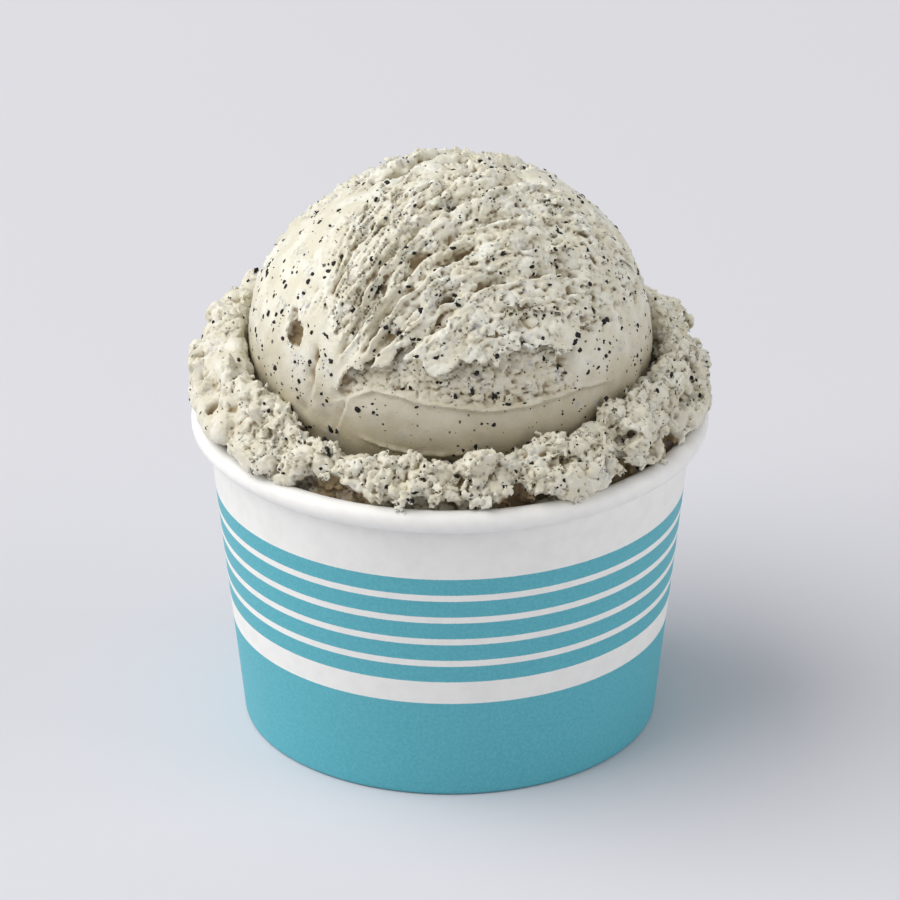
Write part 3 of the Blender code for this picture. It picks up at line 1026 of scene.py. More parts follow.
@dataclass(frozen=True)
class Scoop:
    """The pressed ball: smooth at the flanks and the top, torn across its face."""

    radius: float = 29.4
    half_height: float = 25.9
    centre: float = 60.4
    top: float = 86.1           # no relief rises above this height
    cut: float = 50.2           # the ball ends here, hidden in the filling
    step: float = 0.28
    reach: float = 3.3
    elevation: float = 25.4     # the drag lines are level seen from this height
    tears: tuple[Tear, ...] = (
        Tear(42.6, -16.0, -7.0, 0.7), Tear(45.0, -10.0, -4.5, 0.4), Tear(41.0, -3.0, 3.0, 0.5),
        Tear(38.2, -4.0, 9.0, 0.6), Tear(34.6, -14.0, 12.5, 1.7), Tear(31.0, -14.0, -8.5, 1.0),
        Tear(29.8, -6.0, 13.5, 1.1), Tear(26.8, -10.5, 2.5, 1.5), Tear(25.2, 10.5, 17.5, 1.2),
        Tear(23.4, -15.0, -6.0, 0.7), Tear(20.7, -1.0, 17.5, 1.5), Tear(18.3, -12.0, -1.0, 0.7),
        Tear(32.6, 13.0, 20.0, 0.6),
    )
    lip: Table = (
        (-33.0, 62.4), (-32.0, 64.4), (-29.1, 66.4), (-22.0, 66.9), (-17.8, 67.2), (-14.4, 68.7), (-9.3, 68.5),
        (-4.8, 66.2), (1.4, 67.8), (3.2, 68.8), (5.2, 68.4), (11.9, 68.1), (13.6, 67.0), (15.6, 68.8),
        (21.4, 69.5), (30.4, 68.2), (33.0, 67.6),
    )
    crest: Table = (
        (-36.0, 60.2), (-33.0, 60.8), (-22.0, 63.6), (-13.0, 63.3), (-9.0, 62.5), (1.4, 62.0), (11.0, 61.1),
        (20.0, 61.2), (29.0, 61.4), (39.5, 61.9), (52.0, 60.9),
    )
    low_crest: Table = ((-30.0, 55.8), (-20.0, 54.6), (-9.0, 53.7), (1.4, 53.9), (5.7, 54.4))
    step_right: Table = ((22.0, 72.0), (24.6, 72.6), (27.0, 73.3), (29.7, 72.9), (34.0, 73.0), (38.9, 72.4), (41.0, 72.0))
    step_flank: Table = ((37.0, 68.2), (40.0, 69.2), (43.0, 69.9), (49.9, 70.9), (52.0, 71.4))
    flat_side: tuple[float, float, float] = (-0.60, 0.34, 0.72)
    flattened: float = 0.75     # how far the ball is pressed in on its flat side
    pit: tuple[float, float] = (-54.0, 69.0)
    groove: tuple[float, float, float] = (-42.6, 59.6, 66.6)
    sliver: Table = ((-99.0, 78.0), (-97.0, 77.6), (-80.0, 73.7), (-73.0, 70.4), (-71.0, 69.2))

    def plain(self, spots: Array) -> Array:
        """Distance of each place from the plain ball."""
        axes = np.array([self.radius, self.radius, self.half_height], dtype=np.float32)
        place = spots - np.array([0.0, 0.0, self.centre], dtype=np.float32)
        near = np.linalg.norm(place / axes, axis=1)
        slope = np.linalg.norm(place / (axes * axes), axis=1)
        return near * (near - 1.0) / np.maximum(slope, 1e-6)

    def surface_spot(self, azimuth: float, height: float) -> Array:
        """The place on the plain ball at an azimuth and a height."""
        share = (height - self.centre) / self.half_height
        return ring_spot(azimuth, self.radius * math.sqrt(max(0.0, 1.0 - share * share)), height)

    def drag_place(self, spots: Array) -> tuple[Array, Array]:
        """Where each place lies along and across the curved drag lines.

        Args:
            spots: Places on the face of the ball.

        Returns:
            The sideways place and the level across the lines.
        """
        tilt = math.radians(self.elevation)
        side = spots[:, 0]
        climb = (spots[:, 2] - 41.18) * math.cos(tilt) + spots[:, 1] * math.sin(tilt)
        return side, climb - (0.62 * side - 0.029 * side ** 2 + 0.0004 * side ** 3)

    def torn_share(self, side: Array, spots: Array) -> Array:
        """1 on the torn patch of the face and 0 on the smooth gelato round it."""
        tilt = math.radians(self.elevation)
        climb = (spots[:, 2] - 41.18) * math.cos(tilt) + spots[:, 1] * math.sin(tilt)
        lean = math.radians(12.0)
        across = (side - 6.0) * math.cos(lean) + (climb - 27.8) * math.sin(lean)
        up = (climb - 27.8) * math.cos(lean) - (side - 6.0) * math.sin(lean)
        away = np.hypot(across / 25.5, up / 15.3) + 0.14 * noise(31, spots, 5.0) + 0.08 * noise(32, spots, 1.8)
        return smooth_step(1.12, 0.82, away)

    def torn_face(self, spots: Array, sunk: Array, seed: int) -> Array:
        """Relief of the torn face.

        Args:
            spots: Places near the ball, turned so that the face looks to the front.
            sunk: Depth of each place below the plain ball.
            seed: Which of the noises.

        Returns:
            How far the surface stands out.
        """
        side, level = self.drag_place(spots)
        angle = azimuth_of(spots)
        below_lip = sector(angle, -27.0, 33.0, 7.0) * smooth_step(0.4, -1.0, spots[:, 2] - open_run(self.lip, angle))
        torn = self.torn_share(side, spots) * (1.0 - below_lip)
        frill = 0.75 * noise(seed, spots, 3.2) + 0.45 * noise(seed + 1, spots, 1.3)
        out = np.zeros(len(spots), dtype=np.float32)
        for number, tear in enumerate(self.tears):
            past = level - tear.level + frill + 0.5 * sunk + 0.9 * noise(seed + 2, spots, 7.0)
            run = smooth_step(tear.start - 2.5, tear.start + 1.5, side) * smooth_step(tear.end + 2.5, tear.end - 1.5, side)
            patch = np.clip(0.75 + 0.9 * noise(seed + 3 + number % 3, spots, 4.5), 0.15, 1.4)
            ramp = smooth_step(3.4, 0.2, past) * smooth_step(-0.22, 0.16, past)
            edge = bell(past + 0.45, 0.55)
            out += 2.0 * tear.depth * run * patch * (1.0 - below_lip) * (0.25 * edge - ramp)
        phase = level / 1.9 + 1.1 * noise(seed + 6, spots, 6.0) + 0.35 * noise(seed + 7, spots, 1.5)
        saw = phase - np.floor(phase)
        patch = np.clip(0.5 + 1.1 * noise(seed + 8, spots, 5.0), 0.0, 1.2)
        out += torn * patch * 0.9 * (smooth_step(0.0, 0.25, saw) * (1.0 - saw) - 0.35)
        depth = (spots[:, 2] - 41.18) * math.sin(math.radians(self.elevation)) - spots[:, 1]
        streak = warped(seed + 9, np.stack([side, level, depth], axis=1).astype(np.float32), 2.4, 0.6)
        loose = torn * np.clip(0.75 + 0.8 * noise(seed + 15, spots, 6.0), 0.3, 1.3)
        loose *= 0.7 + 0.3 * smooth_step(-15.0, -7.0, side)
        height, crack = chips(seed + 12, streak, (3.4, 1.5, 2.2))
        out += loose * (0.27 * height - 0.75 * smooth_step(0.24, 0.0, crack))
        height, crack = chips(seed + 13, streak, (1.35, 0.95, 1.0))
        out += loose * (0.2 * height - 0.36 * smooth_step(0.26, 0.0, crack))
        height, crack = chips(seed + 16, spots, 0.85)
        out += torn * (0.16 * height - 0.27 * smooth_step(0.3, 0.0, crack))
        out += torn * (0.5 * noise(seed + 14, spots, 4.0) + 0.15)
        return out

    def lip_and_crests(self, spots: Array, angle: Array, sunk: Array, seed: int) -> Array:
        """Relief of the lip that the upper gelato tears off at, and of the crests below it.

        Args:
            spots: Places near the ball, turned so that the face looks to the front.
            angle: Their azimuths.
            sunk: Their depths below the plain ball.
            seed: Which of the noises.

        Returns:
            How far the surface stands out.
        """
        height = spots[:, 2]
        frill = 0.55 * noise(seed, spots, 1.9) + 0.32 * noise(seed + 1, spots, 0.85)
        lip, crest = open_run(self.lip, angle), open_run(self.crest, angle)
        below = lip - height + frill + 1.1 * sunk
        fall = np.clip((height - crest) / np.maximum(lip - crest, 1.0), 0.0, 1.3)
        across = sector(angle, -29.0, 34.0, 7.0)
        inside = smooth_step(-0.14, 0.2, below) * smooth_step(-0.15, 0.25, height - crest)
        grit, crack = chips(seed + 2, warped(seed + 8, spots, 1.6, 0.4), (1.5, 1.5, 1.0))
        rough = 0.26 * grit - 0.5 * smooth_step(0.25, 0.0, crack) + 0.35 * billow(seed + 3, spots, 0.8)
        rough += 0.4 * noise(seed + 4, spots, 2.6)
        out = -across * inside * (0.6 + 1.5 * fall ** 0.8 - rough)
        out += 0.4 * across * bell(below + 0.6, 0.7)
        run = sector(angle, -22.0, 44.0, 12.0)
        above = height - crest + 0.18 * noise(seed + 5, spots, 2.4)
        out += run * (0.42 * bell(above, 0.36) - 0.32 * smooth_step(-4.0, -0.7, above) * smooth_step(0.2, -0.5, above))
        low = open_run(self.low_crest, angle)
        above = height - low + 0.15 * noise(seed + 6, spots, 2.2)
        ragged = np.clip(0.75 + 0.8 * noise(seed + 7, spots, 1.6), 0.2, 1.6)
        run = sector(angle, -20.0, 0.0, 10.0)
        out += run * (0.6 * ragged * bell(above, 0.42) - 0.55 * smooth_step(0.3, -0.8, above))
        for line, depth, start, end in ((self.step_right, 0.7, 24.0, 39.5), (self.step_flank, 0.45, 38.5, 50.5)):
            below = open_run(line, angle) - height + frill + 0.8 * sunk
            run = sector(angle, start, end, 2.0)
            out -= depth * run * smooth_step(-0.12, 0.18, below) * smooth_step(3.0, 0.3, below)
        return out

    def smooth_flank(self, spots: Array, angle: Array) -> Array:
        """Relief of the pressed gelato on the left: its groove, two soft dents and a loose sliver."""
        height = spots[:, 2]
        start, low, high = self.groove
        across = turn_between(angle, start) * 0.48 + 0.8 * noise(55, spots, 3.0) + 0.3 * noise(56, spots, 1.2)
        run = smooth_step(low - 1.5, low + 1.5, height) * smooth_step(high + 1.8, high - 1.2, height)
        run *= np.clip(0.7 + 0.9 * noise(58, spots, 2.2), 0.15, 1.3)
        out = -0.85 * run * bell(across, 0.7)
        out += 0.25 * run * bell(across - 1.4, 0.8)
        for azimuth, level, depth in ((-46.0, 57.6, 0.5), (-37.5, 57.2, 0.4)):
            spot = self.surface_spot(azimuth, level)
            out -= depth * bell(np.linalg.norm(spots - spot, axis=1), 1.1)
        line = open_run(self.sliver, angle)
        above = (height - line) * 0.8 + 0.25 * noise(57, spots, 2.0)
        run = sector(angle, -97.0, -74.0, 4.0)
        out += run * (0.75 * bell(above - 0.3, 0.7) - 0.5 * bell(above + 1.0, 0.55))
        return out

    def field(self, spots: Array) -> Array:
        """Distance of each place from the dressed ball, below 0 inside."""
        base = self.plain(spots)
        sunk = np.clip(-base, -1.0, 3.0)
        angle = azimuth_of(spots)
        out = 0.3 * noise(21, spots, 11.0) + 0.16 * noise(22, spots, 4.5) + 0.05 * noise(23, spots, 1.4)
        place = spots - np.array([0.0, 0.0, self.centre], dtype=np.float32)
        facing_flat = place @ np.array(self.flat_side, dtype=np.float32) / np.maximum(np.linalg.norm(place, axis=1), 1.0)
        out -= self.flattened * smooth_step(0.80, 1.0, facing_flat)
        turned = spots * np.array([-1.0, -1.0, 1.0], dtype=np.float32)
        for face, facing, seed, share in (
            (spots, smooth_step(5.0, -3.0, spots[:, 1]), 40, 1.0),
            (turned, smooth_step(-3.0, 5.0, spots[:, 1]), 90, 0.85),
        ):
            near = facing > 0.0
            relief = np.zeros(len(spots), dtype=np.float32)
            part = face[near]
            turned_angle = azimuth_of(part)
            relief[near] = self.torn_face(part, sunk[near], seed)
            relief[near] += self.lip_and_crests(part, turned_angle, sunk[near], seed + 20)
            out += share * facing * relief
        out += self.smooth_flank(spots, angle)
        body = np.maximum(base - out, -self.pit_distance(spots))
        return -smooth_min(-body, self.top - spots[:, 2], 0.5)

    def pit_distance(self, spots: Array) -> Array:
        """Distance from the small hole torn in the left flank."""
        azimuth, height = self.pit
        heart = self.surface_spot(azimuth + 1.6, height - 0.5) * 0.99
        upper = self.surface_spot(azimuth - 1.8, height + 0.9)
        rise, crack = chips(61, warped(63, spots, 1.5, 0.4), 1.15)
        ragged = 0.2 * rise + 0.35 * smooth_step(0.25, 0.0, crack) + 0.35 * noise(62, spots, 1.6)
        deep = np.linalg.norm((spots - heart) / np.array([1.0, 1.0, 1.3], dtype=np.float32), axis=1) - 1.8
        shallow = np.linalg.norm(spots - upper, axis=1) - 1.3
        return smooth_min(deep, shallow, 0.5) + ragged

    def carve(self) -> Shell:
        """The ball's surface, closed below the collar."""
        half = self.radius + 1.8
        grid = Carving((-half, -half, self.cut), (half, half, self.centre + self.half_height + 1.2), self.step)
        return grid.surface(grid.fill(self.plain, self.field, self.reach)).largest_part().closed(0.6)

    def build(self) -> Shell:
        """Make the ball with its finish, and hand back its surface."""
        shell = self.carve()
        # painted shade: the pit's inside takes part of the hollow colour, more where it lies deeper
        pit = smooth_step(0.4, 0.1, np.abs(self.pit_distance(shell.spots)))
        marks = np.maximum(hollow_marks(shell), 0.32 * pit * smooth_step(0.1, 1.5, -self.plain(shell.spots)))
        ball = add_mesh("scoop", shell, {"hollow": marks})
        dress(ball, GelatoFinish("pressed_gelato", Texture.SMOOTH).build(), ["gelato"])
        return shell


# ---------------------------------------------------------------- the collar

@dataclass(frozen=True)
class Clump:
    """A lump of torn gelato on the collar, as a leaning ellipsoid."""

    azimuth: float
    radius: float
    height: float
    along: float                # half its size round the cup
    out: float                  # half its size away from the axis
    up: float                   # half its height
    lean: float = 0.0           # degrees by which its right end is raised

    def distance(self, spots: Array) -> Array:
        """Rough distance of each place from the lump."""
        angle = math.radians(self.azimuth)
        lean = math.radians(self.lean)
        right = np.array([math.cos(angle), math.sin(angle), 0.0])
        away = np.array([math.sin(angle), -math.cos(angle), 0.0])
        rise = np.array([0.0, 0.0, 1.0])
        frame = np.stack([
            (right * math.cos(lean) + rise * math.sin(lean)) / self.along,
            away / self.out,
            (rise * math.cos(lean) - right * math.sin(lean)) / self.up,
        ]).astype(np.float32)
        place = (spots - ring_spot(self.azimuth, self.radius, self.height)) @ frame.T
        return (np.linalg.norm(place, axis=1) - 1.0) * min(self.along, self.out, self.up)


@dataclass(frozen=True)
class Collar:
    """The torn ring squeezed out between the ball and the rim."""

    crest_radius: float = 32.6
    cleft_front: float = 50.8
    cleft_side: float = 52.6
    limit: float = 38.45
    hole: tuple[float, float, float] = (-70.0, 36.6, 54.6)
    gaps: tuple[tuple[float, float], ...] = ((-31.5, -24.0), (14.0, 17.0), (41.0, 48.0), (61.0, 64.5))
    gap_radius: float = 1.6
    low: float = 45.6
    step: float = 0.28
    reach: float = 4.2
    crest: Table = (
        (-150, 60.0), (-117, 61.8), (-90, 61.2), (-62, 59.4), (-44, 55.4), (-26, 53.8), (-6, 54.0), (10, 55.0),
        (28, 56.8), (56, 58.6), (90, 60.0), (117, 60.4), (150, 60.0),
    )
    lean_out: Table = (
        (-150, 0.9), (-90, 1.0), (-50, 0.9), (-40, 0.6), (-33, 0.1), (-22, 0.2), (-14, 0.5), (-4, 0.55), (8, 0.5),
        (15, 0.1), (23, 0.8), (35, 0.8), (41, 0.15), (48, 0.15), (55, 0.75), (63, 0.15), (70, 0.9), (105, 1.0), (150, 0.9),
    )
    clumps: tuple[Clump, ...] = (
        Clump(-71.0, 34.4, 57.2, 2.7, 1.6, 5.2, -18.0), Clump(-77.0, 36.6, 55.2, 2.3, 1.5, 3.8, 6.0),
        Clump(-29.0, 34.6, 51.6, 3.2, 1.7, 2.3, 24.0), Clump(-20.0, 34.0, 53.0, 2.4, 1.5, 1.7, -25.0),
        Clump(-13.5, 34.6, 50.6, 3.2, 1.8, 1.9, 10.0), Clump(-6.5, 34.9, 50.4, 2.4, 1.5, 1.9),
        Clump(-6.0, 34.0, 54.0, 4.2, 1.1, 1.2, 32.0), Clump(8.5, 34.2, 55.4, 5.6, 1.7, 1.5, 14.0),
        Clump(2.0, 34.9, 51.3, 3.4, 1.8, 2.3), Clump(10.0, 34.8, 51.0, 2.6, 1.6, 2.1),
        Clump(22.5, 35.6, 52.4, 3.6, 2.3, 2.6, 10.0), Clump(30.0, 35.9, 52.3, 3.6, 2.4, 3.0),
        Clump(27.0, 34.4, 55.6, 4.4, 2.0, 2.2, 14.0), Clump(38.0, 35.0, 53.2, 2.8, 2.0, 2.6),
        Clump(50.0, 35.6, 53.0, 3.4, 2.0, 2.6, 8.0), Clump(56.0, 35.6, 54.2, 3.0, 1.9, 2.4),
    )

    def section(self, spots: Array, cup: PaperCup) -> Array:
        """Distance of each place from the plain ring.

        Args:
            spots: Places near the rim.
            cup: The cup that the ring lies on.

        Returns:
            The distances.
        """
        angle = azimuth_of(spots)
        out = along(self.lean_out, angle)
        crest = along(self.crest, angle)
        ring = np.hypot(spots[:, 0], spots[:, 1])
        height = spots[:, 2]
        crest_r = self.crest_radius + 0.8 * out
        back = smooth_step(60.0, 95.0, np.abs(turn_between(angle, 0.0)))
        wall = self.capsule(ring, height, 31.4, 47.0, crest_r - 1.2, crest - 2.3, 2.3)
        edge_r = 32.3 + 4.7 * out
        edge_z = 50.4 + 1.5 * out
        back *= np.where(angle < 0.0, 1.0, 0.3)
        shoulder = self.capsule(ring, height, crest_r + 1.1 * back, crest - 3.2 + 0.8 * back, edge_r, edge_z, 1.8)
        away = np.abs(turn_between(angle, 0.0))
        cleft = self.cleft_front + (self.cleft_side - self.cleft_front) * smooth_step(30.0, 100.0, away)
        bed = height - (47.4 + (cleft + 0.8 - 47.4) * smooth_step(33.2, 31.6, ring))
        bed = np.maximum(bed, ring - cup.wall_inside(height) - 0.5)
        return smooth_min(smooth_min(wall, shoulder, 1.6), bed, 1.2)

    @staticmethod
    def capsule(ring: Array, height: Array, r0: float, z0: float, r1: Array, z1: Array, thick: float) -> Array:
        """Distance from a thick line in the (radius, height) plane."""
        run_r, run_z = r1 - r0, z1 - z0
        share = ((ring - r0) * run_r + (height - z0) * run_z) / np.maximum(run_r ** 2 + run_z ** 2, 1e-6)
        share = np.clip(share, 0.0, 1.0)
        return np.hypot(ring - r0 - share * run_r, height - z0 - share * run_z) - thick

    def crumble(self, spots: Array, angle: Array) -> Array:
        """How far the torn surface stands out: clumps, nodules and crumbs, smoother at the left."""
        calm = sector(angle, -115.0, -62.0, 14.0)
        shaken = warped(131, spots, 4.0, 1.2)
        clumps = 2.6 * billow(134, shaken, 6.8)
        shaken = warped(138, spots, 1.8, 0.6)
        height, crack = chips(135, shaken, 3.2)
        nodules = 0.5 * height - 0.8 * smooth_step(0.13, 0.0, crack)
        height, crack = chips(136, shaken, 1.5)
        crumbs = 0.36 * height - 0.5 * smooth_step(0.2, 0.0, crack)
        height, crack = chips(137, spots, 0.8)
        fine = 0.17 * height - 0.24 * smooth_step(0.28, 0.0, crack)
        folds = 1.5 * billow(139, shaken * np.array([1.0, 1.0, 0.3], dtype=np.float32), 3.6)
        torn = clumps + (1.0 - 0.75 * calm) * nodules + (1.0 - 0.6 * calm) * (crumbs + fine) + calm * (folds - 0.5)
        return torn - 0.6

    def field(self, spots: Array, cup: PaperCup) -> Array:
        """Distance of each place from the torn ring, below 0 inside."""
        angle = azimuth_of(spots)
        body = self.section(spots, cup)
        for clump in self.clumps:
            near = np.abs(turn_between(angle, clump.azimuth)) < 22.0
            if near.any():
                lump = clump.distance(spots[near])
                body[near] = smooth_min(body[near], lump + 0.35, 0.7)
        body = body - self.crumble(spots, angle)
        slot = (spots - ring_spot(*self.hole)) / np.array([1.0, 1.0, 2.2], dtype=np.float32)
        body = -smooth_min(-body, np.linalg.norm(slot, axis=1) - 1.1, 0.5)
        ring = np.hypot(spots[:, 0], spots[:, 1])
        height = spots[:, 2]
        body = np.maximum(body, 0.1 - cup.bead_distance(spots))
        level = cup.bead_centre()[1]
        outside = ring - (cup.wall_inside(height) - 0.1)
        body = np.where(height < level, np.maximum(body, outside), body)
        open_share = sum(sector(angle, start, end, 3.0) for start, end in self.gaps)
        gap = np.hypot(ring - 34.4, height - 50.0) + 0.5 * noise(141, spots, 1.6)
        body = -smooth_min(-body, gap - self.gap_radius * (1.4 * open_share - 0.4), 0.4)
        return -smooth_min(-body, self.limit - ring, 0.6)

    def carve(self, cup: PaperCup) -> Shell:
        """The ring's surface, closed below the rim."""
        grid = Carving((-39.2, -39.2, self.low), (39.2, 39.2, 66.0), self.step)
        def rough(spots: Array) -> Array:
            """The plain ring, and its hole for the ball."""
            ring = np.hypot(spots[:, 0], spots[:, 1])
            return np.maximum(self.section(spots, cup), 27.4 - ring)
        def exact(spots: Array) -> Array:
            """The torn ring."""
            ring = np.hypot(spots[:, 0], spots[:, 1])
            return np.maximum(self.field(spots, cup), 27.6 - ring)
        return grid.surface(grid.fill(rough, exact, self.reach)).largest_part().closed(0.3)

    def build(self, cup: PaperCup) -> Shell:
        """Make the ring with its finish, and hand back its surface."""
        shell = self.carve(cup)
        away = np.hypot(shell.spots[:, 0], shell.spots[:, 1])
        angle = azimuth_of(shell.spots)
        # painted shade: the collar's foot inside the rim takes part of the hollow colour, most in the gaps
        beside = sum(sector(angle, start, end, 6.0) for start, end in self.gaps)
        sunk = (0.25 + 0.75 * beside) * smooth_step(51.2, 49.6, shell.spots[:, 2]) * smooth_step(36.8, 35.6, away)
        ring = add_mesh("torn_collar", shell, {"hollow": np.maximum(hollow_marks(shell), 0.32 * sunk)})
        dress(ring, GelatoFinish("torn_gelato", Texture.TORN).build(), ["gelato"])
        return shell


@dataclass(frozen=True)
class Filling:
    """The gelato inside the cup, below the ball and the collar."""

    top: float = 45.4
    clear: float = 0.12
    rows: int = 30
    steps: int = 160

    def build(self, cup: PaperCup) -> bpy.types.Object:
        """The filling with its finish."""
        floor = cup.base_raised + cup.paper + self.clear
        wall = [(cup.wall_inside(z) - self.clear, z) for z in np.linspace(floor + 1.0, self.top, self.rows)]
        bottom = [(radius, floor) for radius in np.linspace(0.3, wall[0][0] - 1.0, 10)]
        top = [(radius, self.top + 0.2) for radius in np.linspace(wall[-1][0] - 0.8, 0.3, 20)]
        shell = facing_out(lathe(bottom + wall + top, self.steps))
        inward = np.clip(0.5 + 0.5 * noise(171, shell.spots.astype(np.float32), 5.0), 0.0, 1.0)
        shrink = 1.0 - 0.35 * inward / np.maximum(np.hypot(shell.spots[:, 0], shell.spots[:, 1]), 1.0)
        spots = shell.spots * np.stack([shrink, shrink, np.ones_like(shrink)], axis=1)
        shell = Shell(spots, shell.quads, shell.triangles)
        fill = add_mesh("cup_filling", shell, {"hollow": np.zeros(len(spots))})
        dress(fill, GelatoFinish("packed_gelato", Texture.SMOOTH).build(), ["gelato"])
        return fill


# ---------------------------------------------------------------- the cookie specks

@dataclass(frozen=True)
class CookieSpecks:
    """Ragged grains of cookie, half sunk in the gelato."""

    on_ball: int = 1750
    on_collar: int = 1100
    top: float = 86.25          # no grain reaches above this height
    limit: float = 38.48        # or farther than this from the axis
    seed: int = 7

    @staticmethod
    def coarse_grain() -> tuple[Array, Array]:
        """The 12 corners and 20 faces of an icosahedron of radius 1."""
        golden = (1.0 + math.sqrt(5.0)) / 2.0
        corners = []
        for short, long in product((-1.0, 1.0), (-golden, golden)):
            corners += [(0.0, short, long), (short, long, 0.0), (long, 0.0, short)]
        spots = np.array(corners) / math.hypot(1.0, golden)
        edge = 1.1
        faces = []
        for trio in combinations(range(len(spots)), 3):
            a, b, c = (spots[corner] for corner in trio)
            if max(np.linalg.norm(a - b), np.linalg.norm(b - c), np.linalg.norm(c - a)) < edge:
                outward = np.dot(np.cross(b - a, c - a), a) > 0.0
                faces.append(trio if outward else (trio[0], trio[2], trio[1]))
        return spots, np.array(faces)

    @staticmethod
    def halved(spots: Array, faces: Array) -> tuple[Array, Array]:
        """Split each face of a round grain into four."""
        sides = np.concatenate([faces[:, [0, 1]], faces[:, [1, 2]], faces[:, [2, 0]]])
        pairs, number = np.unique(np.sort(sides, axis=1), axis=0, return_inverse=True)
        middles = spots[pairs].mean(axis=1)
        middles /= np.linalg.norm(middles, axis=1, keepdims=True)
        ab, bc, ca = number.reshape(3, len(faces)) + len(spots)
        a, b, c = faces.T
        finer = [np.stack(trio, axis=1) for trio in ((a, ab, ca), (b, bc, ab), (c, ca, bc), (ab, bc, ca))]
        return np.concatenate([spots, middles]), np.concatenate(finer)

    def pick(self, shell: Shell, count: int, floor: float, draw: np.random.Generator) -> Array:
        """Choose points of a surface, some of them in clusters.

        Args:
            shell: The surface.
            count: How many grains.
            floor: Nothing is picked below this height.
            draw: The source of chance.

        Returns:
            The numbers of the chosen points.
        """
        open_air = np.flatnonzero(shell.spots[:, 2] > floor)
        smooth = smooth_step(0.09, 0.02, np.abs(shell.hollows(9)[open_air]))
        share = 1.0 + 1.6 * smooth
        loners = draw.choice(open_air, int(count * 0.68), replace=False, p=share / share.sum())
        hearts = draw.choice(loners, count - len(loners))
        chosen = []
        for heart in hearts:
            away = np.linalg.norm(shell.spots[open_air] - shell.spots[heart], axis=1)
            near = open_air[(away > 0.35) & (away < 1.4)]
            chosen.append(draw.choice(near) if len(near) else heart)
        return np.concatenate([loners, np.array(chosen)])

    def build(self, ball: Shell, collar: Shell) -> bpy.types.Object:
        """All the grains, joined into one piece."""
        draw = np.random.default_rng(self.seed)
        coarse = self.coarse_grain()
        fine = self.halved(*coarse)
        spots, faces, total = [], [], 0
        for shell, count, floor in ((ball, self.on_ball, 52.0), (collar, self.on_collar, 49.5)):
            for number in self.pick(shell, count, floor, draw):
                size = 0.13 + 0.31 * draw.random() ** 2.3
                round_spots, round_faces = fine if size > 0.24 else coarse
                axes = size * draw.uniform(0.6, 1.4, 3)
                lumps = 1.0 + 0.15 * draw.normal(size=len(round_spots))
                turn = np.linalg.qr(draw.normal(size=(3, 3)))[0]
                turn *= np.sign(np.linalg.det(turn))
                grain = (round_spots * lumps[:, None] * axes) @ turn.T
                outward = shell.spots[number] - np.array([0.0, 0.0, 55.0])
                outward /= np.linalg.norm(outward)
                grain -= 0.45 * np.outer(grain @ outward, outward)
                grain += shell.spots[number] - outward * 0.2 * size
                if grain[:, 2].max() < self.top and np.hypot(grain[:, 0], grain[:, 1]).max() < self.limit:
                    faces.append(round_faces + total)
                    spots.append(grain)
                    total += len(grain)
        shell = Shell(np.concatenate(spots), np.zeros((0, 4), dtype=np.int64), np.concatenate(faces))
        grains = add_mesh("cookie_specks", shell)
        dress(grains, CookieFinish().build(), [])
        return grains


# ---------------------------------------------------------------- the studio

@dataclass(frozen=True)
class SoftBox:
    """A large square lamp, aimed at the cup."""

    name: str
    azimuth: float
    elevation: float
    distance: float             # metres
    size: float                 # metres
    level: float                # brightness of a white sheet that faces the lamp
    tint: Colour = (1.0, 1.0, 1.0)

    def build(self, aim: Vector) -> None:
        """Hang the lamp, pointing at a place."""
        lamp = bpy.data.lights.new(self.name, "AREA")
        lamp.shape = "SQUARE"
        lamp.size = self.size
        lamp.energy = self.level * (math.pi * self.distance) ** 2
        lamp.color = self.tint
        item = bpy.data.objects.new(self.name, lamp)
        bpy.context.scene.collection.objects.link(item)
        turn, tilt = math.radians(self.azimuth), math.radians(self.elevation)
        away = Vector((math.sin(turn) * math.cos(tilt), -math.cos(turn) * math.cos(tilt), math.sin(tilt)))
        item.location = aim + away * self.distance
        item.rotation_euler = (-away).to_track_quat("-Z", "Y").to_euler()


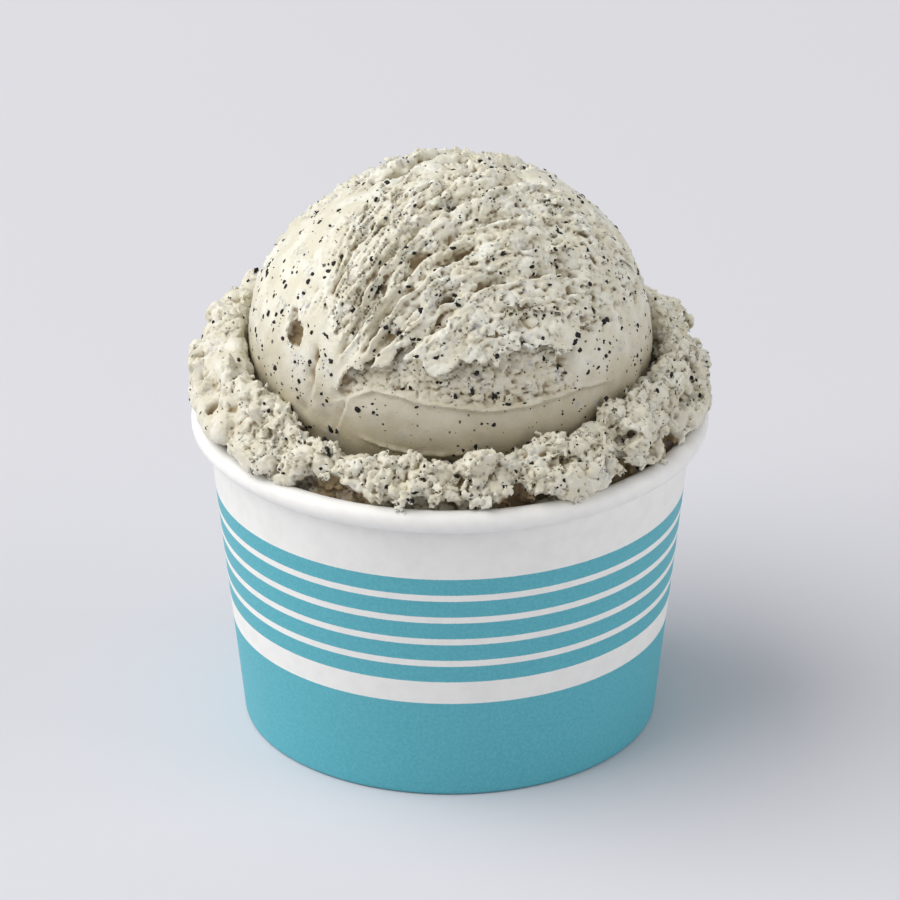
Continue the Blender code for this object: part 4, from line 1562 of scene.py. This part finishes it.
@dataclass(frozen=True)
class Studio:
    """Floor, lamps, sky and camera."""

    aim_height: float = 0.04118     # metres
    elevation: float = 25.41
    distance: float = 0.919         # metres
    lens: float = 249.5
    floor_half: float = 3.0         # metres
    sky: Colour = (0.975, 0.985, 1.0)
    sky_strength: float = 0.42
    lamps: tuple[SoftBox, ...] = (
        SoftBox("key_box", -84.0, 46.0, 2.4, 3.0, 1.28, (1.0, 0.995, 0.98)),
        SoftBox("fill_box", 78.0, 16.0, 2.8, 2.0, 0.32, (0.99, 0.99, 1.0)),
    )

    def build_floor(self) -> bpy.types.Object:
        """The sheet that the cup stands on."""
        half = self.floor_half / MM
        count = 9
        line = np.linspace(-half, half, count)
        across, deep = np.meshgrid(line, line)
        spots = np.stack([across.ravel(), deep.ravel(), np.zeros(count * count)], axis=1)
        first = (np.arange(count - 1)[:, None] * count + np.arange(count - 1)).ravel()
        quads = np.stack([first, first + 1, first + count + 1, first + count], axis=1)
        floor = add_mesh("studio_floor", Shell(spots, quads, np.zeros((0, 3), dtype=np.int64)))
        floor.data.materials.append(FloorFinish().build())
        floor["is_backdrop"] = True
        return floor

    def build_sky(self) -> None:
        """An even pale sky."""
        world = bpy.data.worlds.new("studio_sky")
        world.use_nodes = True
        light = world.node_tree.nodes["Background"]
        light.inputs["Color"].default_value = (*self.sky, 1.0)
        light.inputs["Strength"].default_value = self.sky_strength
        bpy.context.scene.world = world

    def build_camera(self) -> None:
        """A long lens, looking a little down on the cup from the front."""
        lens = bpy.data.cameras.new("camera")
        lens.lens = self.lens
        lens.sensor_width = 36.0
        lens.clip_start = 0.01
        camera = bpy.data.objects.new("camera", lens)
        bpy.context.scene.collection.objects.link(camera)
        tilt = math.radians(self.elevation)
        away = Vector((0.0, -math.cos(tilt), math.sin(tilt)))
        camera.location = Vector((0.0, 0.0, self.aim_height)) + away * self.distance
        camera.rotation_euler = (-away).to_track_quat("-Z", "Y").to_euler()
        bpy.context.scene.camera = camera

    def build(self) -> None:
        """Set the studio up."""
        self.build_floor()
        self.build_sky()
        for lamp in self.lamps:
            lamp.build(Vector((0.0, 0.0, self.aim_height)))
        self.build_camera()
        bpy.context.scene.view_settings.view_transform = "Standard"


def main() -> None:
    """Build the cup, its gelato and the studio, and measure the bounds before and after."""
    logging.basicConfig(level=logging.INFO, format="%(message)s")
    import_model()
    cad_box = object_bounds()
    Studio().build()
    cup = PaperCup()
    cup.build_wall()
    cup.build_base()
    ball = Scoop().build()
    collar = Collar().build(cup)
    Filling().build(cup)
    CookieSpecks().build(ball, collar)
    boxes = {"cad": cad_box, "visual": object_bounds()}
    plain = {name: [[float(value) for value in corner] for corner in box] for name, box in boxes.items()}


if __name__ == "__main__":
    main()
